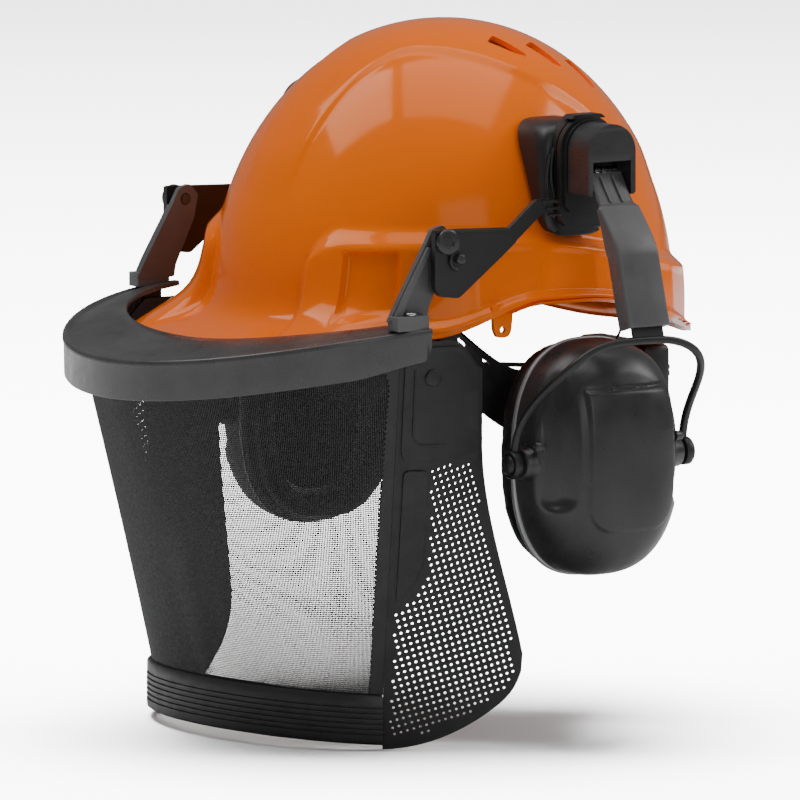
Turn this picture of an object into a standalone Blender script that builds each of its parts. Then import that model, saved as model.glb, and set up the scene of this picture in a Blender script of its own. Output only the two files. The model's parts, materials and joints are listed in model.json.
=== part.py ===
"""Forestry helmet: shell and suspension, ear muffs on sprung arms, and a tilting mesh visor.

+X is the wearer's left, -Y is the front and +Z is up. The origin is the centre of the headband.
Lengths in the constants are in millimetres and become metres when a shape is made.
"""

import math

import bmesh
import bpy
from mathutils import Matrix, Vector

MM = 0.001
GAP = 0.3

# Shell
SHELL_HALF_WIDTH = 104.0
SHELL_HALF_LENGTH = 115.5
SHELL_HEIGHT = 137.5
SHELL_WALL = 2.6
DOME_POWER = 2.06
PEAK_REACH = 28.0
SKIRT_STEP = 4.0
RIM_LIP = 3.0
SHELL_COLUMNS = 48
SHELL_ROWS = 20
LUG_X = 103.2
LUG_Y = -36.0
LUG_HOLE_Z = 0.8
LUG_HOLE = 1.5
LUG_THICK = 2.4
VENT_X = 41.0
VENT_START_Y = 10.0
VENT_PITCH = 21.0
VENT_SIZE = (5.0, 17.0, 30.0)

# Ear muffs
CUP_Y = 3.0
CUP_Z = -60.0
CUP_HALF_WIDTH = 41.5
CUP_HALF_HEIGHT = 56.0
CUP_POWER = 2.5
CUSHION_IN_X = 99.0
CUSHION_OUT_X = 114.0
PLATE_THICK = 3.0
CUP_RIM_X = 117.6
CUP_DEPTH = 38.0
CUP_WALL = 2.2
BASE_Y = 5.5
BASE_Z = 70.0
HUB_Y = 8.0
HUB_Z = 84.0
HUB_X = 113.5
HUB_RADIUS = 13.5
HUB_DEPTH = 17.0
ARM_PIVOT_X = 122.5
ARM_PIVOT_Z = 74.0
ARM_NECK_WIDTH = 19.0
ARM_WIDTH = 23.0
ARM_FLANGE = 8.5
ARM_WALL = 2.2
ARM_TOP_X = 130.5
ARM_END = (161.0, 5.0)
ARM_DOWN = (0.277, -0.961)
ARM_STRAIGHT = 34.0
ARM_KNEE_SHARE = 0.6
TONGUE_DROP = 2.1
YOKE_PIVOT_X = 127.0
YOKE_HALF_SPAN = 48.0
YOKE_WIRE = (3.4, 3.8)
TONGUE_SIZE = (17.6, 1.8, 27.0)
BOSS_RADIUS = 7.5
CAP_RADIUS = 5.5
CAP_DEPTH = 2.6
SPRING_RADIUS = 2.2
SPRING_TURNS = 3

# Visor
HINGE_Y = -76.0
HINGE_Z = 46.0
BRACKET_X = 113.0
BRACKET_THICK = 3.2
PIN_RADIUS = 2.5
PIN_HEAD = 2.4
VISOR_ARM_X = 109.5
GUARD_CENTRE_Y = -72.0
GUARD_HALF_WIDTH = 118.0
GUARD_DEPTH = 121.0
GUARD_WALL = 2.4
GUARD_REACH = 44.0
GUARD_END_REACH = 16.0
GUARD_TURN = math.radians(84.0)
FOOT_Z = 9.0
FOOT_Y = -94.0
SCREEN_THICK = 1.2
SCREEN_LOW_Z = -172.0
SCREEN_TURN = math.radians(76.0)
TRIM_TURN = math.radians(75.6)
TRIM_HEIGHT = 22.0
PANEL_GAP = math.radians(0.7)
PANEL_LOW_Z = -195.0
PANEL_THICK = 1.6
RIVET_X = 112.5
RIVET_RADIUS = 1.5

# Suspension
BAND_HALF_WIDTH = 78.0
BAND_FRONT_Y = -98.0
BAND_REAR_Y = 99.0
BAND_THICK = 1.6
BAND_HEIGHT = 30.0
BAND_TURN = math.radians(128.0)
SWEATBAND_TURN = math.radians(62.0)
SWEATBAND_SIZE = (5.0, 34.0)
NAPE_Z = -38.0
NAPE_PAD_SIZE = (5.0, 26.0)
NAPE_PAD_TURN = math.radians(24.0)
TAIL_RADIUS = 84.0
TAIL_CENTRE_Y = 19.5
TAIL_START = math.radians(112.0)
TAIL_END = math.radians(178.0)
TAIL_HEIGHT = 7.6
TAIL_OFFSET = 4.3
HOUSING_SIZE = (58.0, 16.0, 30.0)
KNOB_RADIUS = 14.0
KNOB_DEPTH = 11.0
STRAP_ANGLES = (38.0, 90.0, 142.0)
STRAP_WIDTH = 19.0
STRAP_DROP = 1.5
CROWN_CLEARANCE = 26.0
CLIP_Z = 30.0
CLIP_SIZE = (24.0, 4.0, 10.0)
HANGER_LIMIT = math.radians(116.0)

ORANGE = (0.85, 0.17, 0.01)
DARK_GREY = (0.055, 0.055, 0.06)
MID_GREY = (0.11, 0.11, 0.115)
BLACK = (0.012, 0.012, 0.013)
STEEL = (0.45, 0.46, 0.48)
SOFT_BLACK = (0.02, 0.02, 0.022)
SILVER = (0.3, 0.31, 0.33)
WEB_GREY = (0.16, 0.16, 0.17)
FOAM_GREY = (0.08, 0.08, 0.085)


def clear_scene():
    for found in list(bpy.data.objects):
        bpy.data.objects.remove(found, do_unlink=True)


def collection(name):
    made = bpy.data.collections.new(name)
    bpy.context.scene.collection.children.link(made)
    return made


def material(name, colour, roughness, metallic=0.0):
    made = bpy.data.materials.new(name)
    made.use_nodes = True
    shader = made.node_tree.nodes["Principled BSDF"]
    shader.inputs["Base Color"].default_value = (*colour, 1.0)
    shader.inputs["Roughness"].default_value = roughness
    shader.inputs["Metallic"].default_value = metallic
    made.diffuse_color = (*colour, 1.0)
    return made


def smooth_step(low, high, value):
    share = min(1.0, max(0.0, (value - low) / (high - low)))
    return share * share * (3.0 - 2.0 * share)


def mix(low, high, share):
    return low + (high - low) * share


def signed_power(value, power):
    return math.copysign(abs(value) ** power, value)


class Kit:
    """Makes named parts in one collection and stands each one on its joint's axis."""

    def __init__(self, parts, cutters):
        self.parts = parts
        self.cutters = cutters

    def place(self, name, mesh, look, pivot, cutter=False):
        made = bpy.data.objects.new(name, mesh)
        (self.cutters if cutter else self.parts).objects.link(made)
        pivot = Vector(pivot) * MM
        mesh.transform(Matrix.Translation(-pivot))
        made.location = pivot
        if cutter:
            made.hide_render = True
            made.display_type = "WIRE"
        else:
            made.data.materials.append(material(name, *LOOKS[look]))
        return made

    def from_bmesh(self, name, shape, look, pivot=(0, 0, 0), angle=40.0, cutter=False):
        bmesh.ops.recalc_face_normals(shape, faces=shape.faces[:])
        mesh = bpy.data.meshes.new(name)
        shape.to_mesh(mesh)
        shape.free()
        mesh.shade_smooth()
        mesh.set_sharp_from_angle(angle=math.radians(angle))
        return self.place(name, mesh, look, pivot, cutter)

    def grid(self, name, across, along, point, look, **options):
        """A solid or surface whose point (u, v), each 0 to 1, is given by a rule in millimetres."""
        shape = bmesh.new()
        bmesh.ops.create_grid(shape, x_segments=across, y_segments=along, size=1.0)
        for vertex in shape.verts:
            u = (vertex.co.x + 1.0) / 2.0
            v = (vertex.co.y + 1.0) / 2.0
            vertex.co = Vector(point(u, v)) * MM
        bmesh.ops.remove_doubles(shape, verts=shape.verts[:], dist=0.00002)
        edges = [edge for edge in shape.edges if edge.is_boundary]
        if options.pop("capped", False) and edges:
            bmesh.ops.holes_fill(shape, edges=edges, sides=0)
        return self.from_bmesh(name, shape, look, **options)

    def sweep(self, name, steps, place, section, look, closed=False, **options):
        """A section of points carried along a path; place(t) gives a centre and two side directions."""
        count = len(section(0.0))

        def point(u, v):
            t = 0.0 if closed and u > 1.0 - 0.5 / steps else u
            a, b = section(t)[round(v * count) % count]
            centre, first, second = place(t)
            return Vector(centre) + Vector(first) * a + Vector(second) * b

        return self.grid(name, steps, count, point, look, capped=not closed, **options)

    def tube(self, name, points, radius, look, pivot=(0, 0, 0), sides=3, closed=False):
        curve = bpy.data.curves.new(name, "CURVE")
        curve.dimensions = "3D"
        curve.bevel_depth = radius * MM
        curve.bevel_resolution = sides
        curve.use_fill_caps = True
        spline = curve.splines.new("POLY")
        spline.points.add(len(points) - 1)
        for knot, place in zip(spline.points, points):
            knot.co = (*(Vector(place) * MM), 1.0)
        spline.use_cyclic_u = closed
        return self.bake(name, curve, look, pivot)

    def plate(self, name, outline, thick, frame, look, pivot=(0, 0, 0), bevel=0.0, holes=()):
        """A flat outline in millimetres, thickened to both sides of its plane and set by a frame."""
        curve = bpy.data.curves.new(name, "CURVE")
        curve.dimensions = "2D"
        curve.fill_mode = "BOTH"
        curve.extrude = thick * MM / 2.0 - bevel * MM
        curve.bevel_depth = bevel * MM
        curve.bevel_resolution = 0
        curve.offset = -bevel * MM
        for ring in (outline, *holes):
            spline = curve.splines.new("POLY")
            spline.points.add(len(ring) - 1)
            for knot, place in zip(spline.points, ring):
                knot.co = (place[0] * MM, place[1] * MM, 0.0, 1.0)
            spline.use_cyclic_u = True
        return self.bake(name, curve, look, pivot, frame)

    def bake(self, name, curve, look, pivot, frame=None):
        holder = bpy.data.objects.new(name + "_curve", curve)
        self.parts.objects.link(holder)
        bpy.context.view_layer.update()
        seen = holder.evaluated_get(bpy.context.evaluated_depsgraph_get())
        mesh = bpy.data.meshes.new_from_object(seen)
        bpy.data.objects.remove(holder, do_unlink=True)
        bpy.data.curves.remove(curve)
        if frame is not None:
            mesh.transform(frame)
        shape = bmesh.new()
        shape.from_mesh(mesh)
        bpy.data.meshes.remove(mesh)
        bmesh.ops.remove_doubles(shape, verts=shape.verts[:], dist=0.00002)
        return self.from_bmesh(name, shape, look, pivot=pivot)

    def drum(self, name, profile, frame, look, steps=24, **options):
        """A turned solid: (radius, height) points swept about the frame's Z axis."""

        def point(u, v):
            radius, height = profile[round(v * (len(profile) - 1))]
            angle = 2.0 * math.pi * (u if u < 1.0 - 0.5 / steps else 0.0)
            turned = Vector((radius * math.cos(angle), radius * math.sin(angle), height))
            return frame @ (turned * MM) / MM

        return self.grid(name, steps, len(profile) - 1, point, look, **options)

    def block(self, name, size, centre, look="black", turn=None, cutter=True, bevel=0.0, **options):
        shape = bmesh.new()
        bmesh.ops.create_cube(shape, size=1.0)
        bmesh.ops.scale(shape, vec=Vector(size) * MM, verts=shape.verts[:])
        if bevel:
            bmesh.ops.bevel(
                shape,
                geom=shape.edges[:],
                offset=bevel * MM,
                segments=1,
                affect="EDGES",
            )
        place = Matrix.Translation(Vector(centre) * MM) @ (turn or Matrix())
        bmesh.ops.transform(shape, matrix=place, verts=shape.verts[:])
        return self.from_bmesh(name, shape, look, cutter=cutter, **options)

    def cut(self, target, cutter):
        change = target.modifiers.new("cut_" + cutter.name, "BOOLEAN")
        change.operation = "DIFFERENCE"
        change.solver = "EXACT"
        change.object = cutter

    def join(self, target, tool):
        change = target.modifiers.new("join_" + tool.name, "BOOLEAN")
        change.operation = "UNION"
        change.solver = "EXACT"
        change.object = tool


LOOKS = {
    "orange": (ORANGE, 0.18),
    "dark": (DARK_GREY, 0.4),
    "grey": (MID_GREY, 0.35),
    "black": (BLACK, 0.4),
    "steel": (STEEL, 0.3, 1.0),
    "soft": (SOFT_BLACK, 0.6),
    "silver": (SILVER, 0.4, 0.3),
    "web": (WEB_GREY, 0.85),
    "foam": (FOAM_GREY, 0.95),
}


def frame_along(direction, centre):
    """A frame whose Z axis runs along a direction, centred on a point in millimetres."""
    turn = Vector(direction).to_track_quat("Z", "Y").to_matrix().to_4x4()
    return Matrix.Translation(Vector(centre) * MM) @ turn


def frame_yz(x):
    """The outline's first axis along Y and its second along Z, at a distance out along X."""
    return Matrix(((0, 0, 1, x * MM), (1, 0, 0, 0), (0, 1, 0, 0), (0, 0, 0, 1)))


def pin_profile(radius, length, head_radius=0.0, head=0.0):
    points = [(0.0, 0.0), (radius, 0.0), (radius, length)]
    if head:
        points += [(head_radius, length), (head_radius, length + head * 0.6)]
        points += [(head_radius * 0.75, length + head)]
    return points + [(0.0, points[-1][1])]


def rounded_box(width, height, radius, corner=3):
    """Points round a rectangle with rounded corners, centred on its middle."""
    points = []
    for quarter in range(4):
        start = quarter * math.pi / 2.0
        sign_x = 1 if quarter in (0, 3) else -1
        sign_y = 1 if quarter in (0, 1) else -1
        for step in range(corner + 1):
            angle = start + step / corner * math.pi / 2.0
            x = sign_x * (width / 2.0 - radius) + radius * math.cos(angle)
            y = sign_y * (height / 2.0 - radius) + radius * math.sin(angle)
            points.append((x, y))
    return points


# ---------------------------------------------------------------- shell


def plan_radius(angle, half_width, half_length):
    """Distance from the centre to an ellipse; the angle is 0 at the front and grows to the left."""
    return 1.0 / math.hypot(math.sin(angle) / half_width, math.cos(angle) / half_length)


def dome_share(z):
    return max(0.0, 1.0 - (max(z, 0.0) / SHELL_HEIGHT) ** DOME_POWER) ** (1.0 / DOME_POWER)


def skirt_top(angle):
    """Height of the raised skirt's top edge, high by the temples and low at the back."""
    turn = abs(math.degrees(angle))
    return mix(46.0, 21.0, smooth_step(60.0, 165.0, turn))


def skirt_share(angle):
    return smooth_step(18.0, 27.0, abs(math.degrees(angle)))


def rim_height(angle):
    """Height of the rim: over the ear it arches up, and it drops at the temples and the nape."""
    turn = abs(math.degrees(angle))
    front = mix(-9.0, -4.0, smooth_step(0.0, 52.0, turn))
    side = mix(front, 12.0, smooth_step(54.0, 82.0, turn))
    return mix(side, -18.0, smooth_step(92.0, 165.0, turn))


def peak_share(angle):
    return 1.0 - smooth_step(24.0, 64.0, abs(math.degrees(angle)))


def shell_point(angle, share):
    """The outer skin from the crown (0) to the rim (1)."""
    base = plan_radius(angle, SHELL_HALF_WIDTH, SHELL_HALF_LENGTH)
    top = skirt_top(angle)
    if share <= 0.6:
        lift = share / 0.6 * math.acos((top + 3.0) / SHELL_HEIGHT) / (math.pi / 2.0)
        z = SHELL_HEIGHT * math.cos(lift * math.pi / 2.0)
        return base * dome_share(z), z
    skirt = SKIRT_STEP * skirt_share(angle)
    peak = peak_share(angle)
    rim = rim_height(angle)
    low = (share - 0.6) / 0.4
    step = smooth_step(0.0, 0.25, low)
    z = mix(top + 3.0, rim, low)
    bend = max(0.0, (low - 0.25) / 0.75)
    out = (PEAK_REACH + RIM_LIP) * peak * bend ** 2.2
    lip = RIM_LIP * (1.0 - peak) * smooth_step(0.86, 1.0, low)
    fall = 1.0 - 0.25 * peak * math.sin(math.pi * bend)
    z = rim + (z - rim) * fall
    return base * dome_share(z) + skirt * step + out + lip, z


def make_shell(kit):
    def point(u, v):
        angle = 2.0 * math.pi * (u if u < 1.0 - 0.5 / SHELL_COLUMNS else 0.0)
        angle = math.remainder(angle, 2.0 * math.pi)
        radius, z = shell_point(angle, v)
        return radius * math.sin(angle), -radius * math.cos(angle), z

    shell = kit.grid("shell", SHELL_COLUMNS, SHELL_ROWS, point, "orange")
    wall = shell.modifiers.new("wall", "SOLIDIFY")
    wall.thickness = SHELL_WALL * MM
    wall.offset = -1.0
    for side in (-1, 1):
        hole = ring(LUG_Y, LUG_HOLE_Z, LUG_HOLE, 10)
        outline = [(LUG_Y - 6.0, 14.0), (LUG_Y - 5.5, 0.0), (LUG_Y - 3.0, -3.0)]
        outline += [(LUG_Y + 3.0, -3.0), (LUG_Y + 5.5, 0.0), (LUG_Y + 6.0, 14.0)]
        name = "lug_" + side_name(side)
        frame = frame_yz(side * LUG_X)
        lug = kit.plate(name, outline, LUG_THICK, frame, "orange", holes=(hole,))
        kit.parts.objects.unlink(lug)
        kit.cutters.objects.link(lug)
        lug.hide_render = True
        lug.display_type = "WIRE"
        kit.join(shell, lug)
        for index in range(3):
            slot = vent_cutter(kit, side, index)
            kit.cut(shell, slot)
    return shell


def vent_cutter(kit, side, index):
    """A slot beside the crest, slanting back and out."""
    shape = bmesh.new()
    bmesh.ops.create_cube(shape, size=1.0)
    bmesh.ops.scale(shape, vec=Vector(VENT_SIZE) * MM, verts=shape.verts[:])
    y = VENT_START_Y + VENT_PITCH * index
    x = VENT_X
    radius = math.hypot(x / SHELL_HALF_WIDTH, y / SHELL_HALF_LENGTH)
    z = SHELL_HEIGHT * (1.0 - radius**DOME_POWER) ** (1.0 / DOME_POWER)
    turn = Matrix.Rotation(side * math.radians(-38.0), 4, "Z")
    tilt = Matrix.Rotation(side * math.radians(22.0), 4, "Y")
    place = Matrix.Translation(Vector((side * x, y, z)) * MM)
    bmesh.ops.transform(shape, matrix=place @ tilt @ turn, verts=shape.verts[:])
    name = f"vent_{side_name(side)}_{index + 1}"
    return kit.from_bmesh(name, shape, "orange", cutter=True)


def side_name(side):
    return "left" if side > 0 else "right"


def circle_angles(count):
    return [2.0 * math.pi * step / count for step in range(count)]


def ring(y, z, radius, count=16):
    return [(y + radius * math.cos(a), z + radius * math.sin(a)) for a in circle_angles(count)]


# ---------------------------------------------------------------- suspension


def band_plan(angle, inset=0.0):
    """A point on the headband's outer face; the angle is 0 at the front and grows to the left."""
    half_length = (BAND_REAR_Y - BAND_FRONT_Y) / 2.0
    middle = (BAND_REAR_Y + BAND_FRONT_Y) / 2.0
    radius = plan_radius(angle, BAND_HALF_WIDTH - inset, half_length - inset)
    return radius * math.sin(angle), middle - radius * math.cos(angle)


def band_height(angle):
    """Mid-height of the band: level at the brow, lower towards the nape."""
    return mix(2.0, NAPE_Z, smooth_step(38.0, 86.0, abs(math.degrees(angle))))


def band_place(angle, inset=0.0):
    x, y = band_plan(angle, inset)
    ahead = Vector(band_plan(angle + 0.01, inset)) - Vector(band_plan(angle - 0.01, inset))
    out = Vector((ahead.y, -ahead.x, 0.0)).normalized()
    if out.dot(Vector((x, y, 0.0))) < 0:
        out = -out
    return (x, y, band_height(angle)), out, Vector((0.0, 0.0, 1.0))


def strip(width, thick):
    return lambda t: [
        (thick / 2, -width / 2),
        (thick / 2, width / 2),
        (-thick / 2, width / 2),
        (-thick / 2, -width / 2),
    ]


def make_suspension(kit):
    kit.sweep(
        "headband",
        32,
        lambda t: band_place(mix(-BAND_TURN, BAND_TURN, t)),
        strip(BAND_HEIGHT, BAND_THICK),
        "black",
    )
    inset = BAND_THICK / 2 + GAP + SWEATBAND_SIZE[0] / 2
    kit.sweep(
        "sweatband",
        16,
        lambda t: band_place(mix(-SWEATBAND_TURN, SWEATBAND_TURN, t), inset=inset),
        lambda t: rounded_box(*SWEATBAND_SIZE, 2.0, corner=2),
        "soft",
    )
    for side in (-1, 1):
        make_tail(kit, side)
    make_ratchet(kit)
    make_crown(kit)


def make_tail(kit, side):
    """A toothed strap from the band's end into the ratchet housing, curved about a vertical axis."""

    def place(t):
        return nape_place(side * mix(TAIL_START, TAIL_END, t), TAIL_RADIUS, TAIL_OFFSET * side)

    kit.sweep(
        "band_tail_" + side_name(side),
        20,
        place,
        strip(TAIL_HEIGHT, BAND_THICK),
        "black",
        pivot=(0.0, TAIL_CENTRE_Y, NAPE_Z),
    )


def make_ratchet(kit):
    """The housing is a shallow box with a slot for the tails; the knob turns on its back."""
    front = TAIL_CENTRE_Y + TAIL_RADIUS - 6.0
    shape = bmesh.new()
    bmesh.ops.create_cube(shape, size=1.0)
    bmesh.ops.scale(shape, vec=Vector(HOUSING_SIZE) * MM, verts=shape.verts[:])
    middle = Vector((0.0, front + HOUSING_SIZE[1] / 2.0, NAPE_Z))
    bmesh.ops.translate(shape, vec=middle * MM, verts=shape.verts[:])
    bmesh.ops.bevel(
        shape,
        geom=shape.edges[:],
        offset=3.0 * MM,
        segments=2,
        profile=0.5,
        affect="EDGES",
    )
    housing = kit.from_bmesh("ratchet_housing", shape, "black")

    def slot_place(t):
        angle = mix(math.radians(140.0), math.radians(220.0), t)
        return nape_place(angle, TAIL_RADIUS)

    slot = kit.sweep(
        "tail_slot", 16, slot_place, strip(18.0, 3.4), "black", cutter=True
    )
    kit.cut(housing, slot)
    base = front + HOUSING_SIZE[1] + GAP
    frame = frame_along((0, 1, 0), (0.0, base, NAPE_Z))
    steps = 36

    def point(u, v):
        profile = [(0.0, 0.0), (KNOB_RADIUS, 0.0), (KNOB_RADIUS, KNOB_DEPTH - 2.0)]
        profile += [(KNOB_RADIUS - 2.0, KNOB_DEPTH), (0.0, KNOB_DEPTH)]
        radius, height = profile[round(v * 4)]
        turn = 0 if u > 1.0 - 0.5 / steps else round(u * steps)
        if radius == KNOB_RADIUS:
            radius -= 1.0 if turn % 3 == 0 else 0.0
        angle = 2.0 * math.pi * turn / steps
        turned = Vector((radius * math.cos(angle), radius * math.sin(angle), height))
        return frame @ (turned * MM) / MM

    kit.grid("ratchet_knob", steps, 4, point, "dark", pivot=(0.0, base, NAPE_Z))
    pad_radius = front - GAP - 3.0 - TAIL_CENTRE_Y
    ends = (math.pi - NAPE_PAD_TURN, math.pi + NAPE_PAD_TURN)
    kit.sweep(
        "nape_pad",
        8,
        lambda t: nape_place(mix(*ends, t), pad_radius),
        lambda t: rounded_box(*NAPE_PAD_SIZE, 2.0, corner=2),
        "soft",
    )


def nape_place(angle, radius, lift=0.0):
    """A point on a circle about the tails' axis, at the height of the nape."""
    out = Vector((math.sin(angle), -math.cos(angle), 0.0))
    centre = Vector((0.0, TAIL_CENTRE_Y, NAPE_Z + lift)) + out * radius
    return centre, out, Vector((0.0, 0.0, 1.0))


def clip_place(angle):
    """Centre of a clip, on the inside of the shell, and the direction out to the shell."""
    out = Vector((math.sin(angle), -math.cos(angle), 0.0))
    radius = plan_radius(angle, SHELL_HALF_WIDTH, SHELL_HALF_LENGTH) * dome_share(CLIP_Z)
    return out * (radius - SHELL_WALL - 5.5) + Vector((0.0, 0.0, CLIP_Z)), out


def make_crown(kit):
    """Three textile straps cross under the crown, each ending in a clip at both ends."""
    for order, turn in enumerate(STRAP_ANGLES):
        angle = math.radians(turn)
        far = angle - math.pi
        first, out = clip_place(angle)
        second, _ = clip_place(far)
        top = SHELL_HEIGHT - CROWN_CLEARANCE - STRAP_DROP * order
        across = Vector((0, 0, 1)).cross(out)
        inner_first = first - out * 3.2
        inner_second = second + out * 3.2

        def place(t, a=inner_first, b=inner_second, peak=top, side=across):
            swing = math.pi * (1.0 - t)
            middle = (a + b) / 2.0
            arm = (a - b) / 2.0
            lift = peak - (CLIP_Z + 6.0)
            centre = middle - arm * signed_power(math.cos(swing), 0.86)
            centre.z = CLIP_Z + 6.0 + lift * math.sin(swing) ** 0.86
            level = arm.normalized()
            tangent_x = math.sin(swing)
            tangent_z = math.cos(swing)
            normal = (Vector((0, 0, tangent_x)) - level * tangent_z).normalized()
            return centre, normal, side

        kit.sweep(f"crown_strap_{order + 1}", 20, place, strip(STRAP_WIDTH, 1.0), "web")
        for end, (centre, spin) in enumerate(((first, angle), (second, far))):
            make_clip(kit, f"strap_clip_{order + 1}{'ab'[end]}", centre, spin)
            if order != 1:
                make_hanger(kit, f"band_hanger_{order + 1}{'ab'[end]}", spin)


def make_hanger(kit, name, angle):
    """A tab that hangs the headband from a strap clip; the rear ones lean forward to its ends."""
    centre, out = clip_place(angle)
    turn = math.remainder(angle, 2.0 * math.pi)
    place, normal, _ = band_place(max(-HANGER_LIMIT, min(HANGER_LIMIT, turn)))
    side = Vector((0, 0, 1)).cross(out)
    top = centre + Vector((0.0, 0.0, -5.0 - 2.0 * GAP))
    lean = abs(normal.dot(side))
    low = Vector(place) + normal * (BAND_THICK / 2 + GAP + 1.6 + 6.5 * lean)
    low.z -= 4.0
    knee = low + Vector((0.0, 0.0, 14.0))
    line = (top, knee, low)

    def place(t):
        step = min(int(t * 2.0), 1)
        here = line[step].lerp(line[step + 1], t * 2.0 - step)
        along = (line[2] - line[0]).normalized()
        return here, side.cross(along), side

    kit.sweep(name, 2, place, strip(12.0, 1.4), "black")


def make_clip(kit, name, centre, angle):
    shape = bmesh.new()
    bmesh.ops.create_cube(shape, size=1.0)
    bmesh.ops.scale(shape, vec=Vector(CLIP_SIZE) * MM, verts=shape.verts[:])
    bmesh.ops.bevel(shape, geom=shape.edges[:], offset=0.8 * MM, segments=1, affect="EDGES")
    place = Matrix.Translation(centre * MM) @ Matrix.Rotation(angle, 4, "Z")
    bmesh.ops.transform(shape, matrix=place, verts=shape.verts[:])
    kit.from_bmesh(name, shape, "black")


# ---------------------------------------------------------------- ear muffs


def oval(angle, half_width, half_height, power=CUP_POWER):
    """A point on a superellipse in the cup's plane: along Y, then along Z."""
    y = half_width * signed_power(math.cos(angle), 2.0 / power)
    z = half_height * signed_power(math.sin(angle), 2.0 / power)
    return y, z


def make_muff(kit, side):
    label = side_name(side)
    make_base(kit, side, label)
    make_hub(kit, side, label)
    make_arm(kit, side, label)
    make_yoke(kit, side, label)
    make_cup(kit, side, label)


def make_base(kit, side, label):
    """The block clipped on the shell's side that carries the hub and the visor bracket."""

    def point(u, v):
        ring = [(0.0, 0.0), (1.0, 0.0), (1.0, 0.8), (0.86, 1.0), (0.0, 1.0)]
        size, depth = ring[round(v * 4)]
        turn = 0.0 if u > 1.0 - 0.5 / 28 else u
        dy, dz = oval(2.0 * math.pi * turn, 19.0, 27.0, power=4.0)
        y = BASE_Y + dy * size
        z = BASE_Z + dz * size
        inner = SHELL_HALF_WIDTH * dome_share(z) * math.sqrt(1.0 - (y / SHELL_HALF_LENGTH) ** 2)
        inner += SKIRT_STEP + 2.0 if z < skirt_top(math.pi / 2) + 6.0 else 1.6
        outer = HUB_X - GAP
        return side * mix(inner, outer, depth), y, z

    kit.grid("muff_base_" + label, 28, 4, point, "black")


def make_hub(kit, side, label):
    frame = frame_along((side, 0, 0), (side * HUB_X, HUB_Y, HUB_Z))
    depth = HUB_DEPTH
    profile = [(0, 0), (HUB_RADIUS, 0), (HUB_RADIUS, depth - 2.0)]
    profile += [(HUB_RADIUS - 2.0, depth), (0, depth)]
    axis = (side * HUB_X, HUB_Y, HUB_Z)
    hub = kit.drum("muff_hub_" + label, profile, frame, "black", pivot=axis, steps=28)
    skirt = bmesh.new()
    bmesh.ops.create_cube(skirt, size=1.0)
    bmesh.ops.scale(skirt, vec=Vector((depth - 0.4, 27.0, 20.0)) * MM, verts=skirt.verts[:])
    move = Vector((side * (HUB_X + depth / 2.0), HUB_Y, HUB_Z - 10.0))
    bmesh.ops.translate(skirt, vec=move * MM, verts=skirt.verts[:])
    lower = kit.from_bmesh("hub_skirt_" + label, skirt, "black", cutter=True)
    kit.join(hub, lower)
    slot = bmesh.new()
    bmesh.ops.create_cube(slot, size=1.0)
    bmesh.ops.scale(slot, vec=Vector((18.0, 21.5, 20.0)) * MM, verts=slot.verts[:])
    move = Vector((side * (ARM_PIVOT_X + 1.0), HUB_Y, ARM_PIVOT_Z - 4.0))
    bmesh.ops.translate(slot, vec=move * MM, verts=slot.verts[:])
    opening = kit.from_bmesh("hub_slot_" + label, slot, "black", cutter=True)
    kit.cut(hub, opening)


def arm_line(t):
    """The arm's centre line: curved from its pivot in the hub, then a straight channel. X, then Z."""
    top = Vector((ARM_PIVOT_X + 1.2, ARM_PIVOT_Z))
    low = Vector(ARM_END)
    knee = low - Vector(ARM_DOWN) * ARM_STRAIGHT
    if t >= ARM_KNEE_SHARE:
        return knee.lerp(low, (t - ARM_KNEE_SHARE) / (1.0 - ARM_KNEE_SHARE))
    part = t / ARM_KNEE_SHARE
    keep = 1.0 - part
    bend = Vector((ARM_TOP_X + 1.0, 61.0))
    belly = knee - Vector(ARM_DOWN) * 9.0
    return top * keep**3 + bend * 3 * keep**2 * part + belly * 3 * keep * part**2 + knee * part**3


def arm_place(side, t):
    here = arm_line(t)
    ahead = arm_line(min(1.0, t + 0.01)) - arm_line(max(0.0, t - 0.01))
    along = Vector((side * ahead.x, 0.0, ahead.y)).normalized()
    out = Vector((-side * along.z, 0.0, side * along.x))
    out = out if out.x * side > 0 else -out
    return Vector((side * here.x, HUB_Y, here.y)), out, Vector((0, 1, 0))


def make_arm(kit, side, label):
    def section(t):
        """A shallow neck in the hub that opens into a deep channel for the yoke's tongue."""
        width = mix(ARM_NECK_WIDTH, ARM_WIDTH, smooth_step(0.17, 0.24, t))
        flange = mix(1.6, ARM_FLANGE, smooth_step(0.18, 0.5, t))
        web = mix(1.59, 0.9, smooth_step(0.2, 0.4, t))
        inner = width / 2 - ARM_WALL
        return [
            (0.7, -width / 2),
            (1.5, -width / 2 + 1.0),
            (1.5, width / 2 - 1.0),
            (0.7, width / 2),
            (-flange, width / 2),
            (-flange, inner),
            (-web, inner),
            (-web, -inner),
            (-flange, -inner),
            (-flange, -width / 2),
        ]

    kit.sweep(
        "muff_arm_" + label,
        18,
        lambda t: arm_place(side, t),
        section,
        "grey",
        pivot=(side * ARM_PIVOT_X, HUB_Y, ARM_PIVOT_Z),
    )
    coil = []
    steps = SPRING_TURNS * 8
    for step in range(steps + 1):
        angle = 2.0 * math.pi * step / 8.0
        y = HUB_Y - 6.0 + 12.0 * step / steps
        x = side * (HUB_X + 4.2 + SPRING_RADIUS * math.cos(angle))
        coil.append((x, y, ARM_PIVOT_Z + 0.5 + SPRING_RADIUS * math.sin(angle)))
    hold = (side * ARM_PIVOT_X, HUB_Y, ARM_PIVOT_Z)
    kit.tube("arm_spring_" + label, coil, 0.5, "steel", pivot=hold, sides=1)


def yoke_top():
    """Where the bow meets its tongue, just below the arm's end: X, then Z."""
    down = Vector(ARM_DOWN)
    inward = Vector((down.y, -down.x))
    return Vector(ARM_END) + down * 6.0 + inward * TONGUE_DROP


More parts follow.
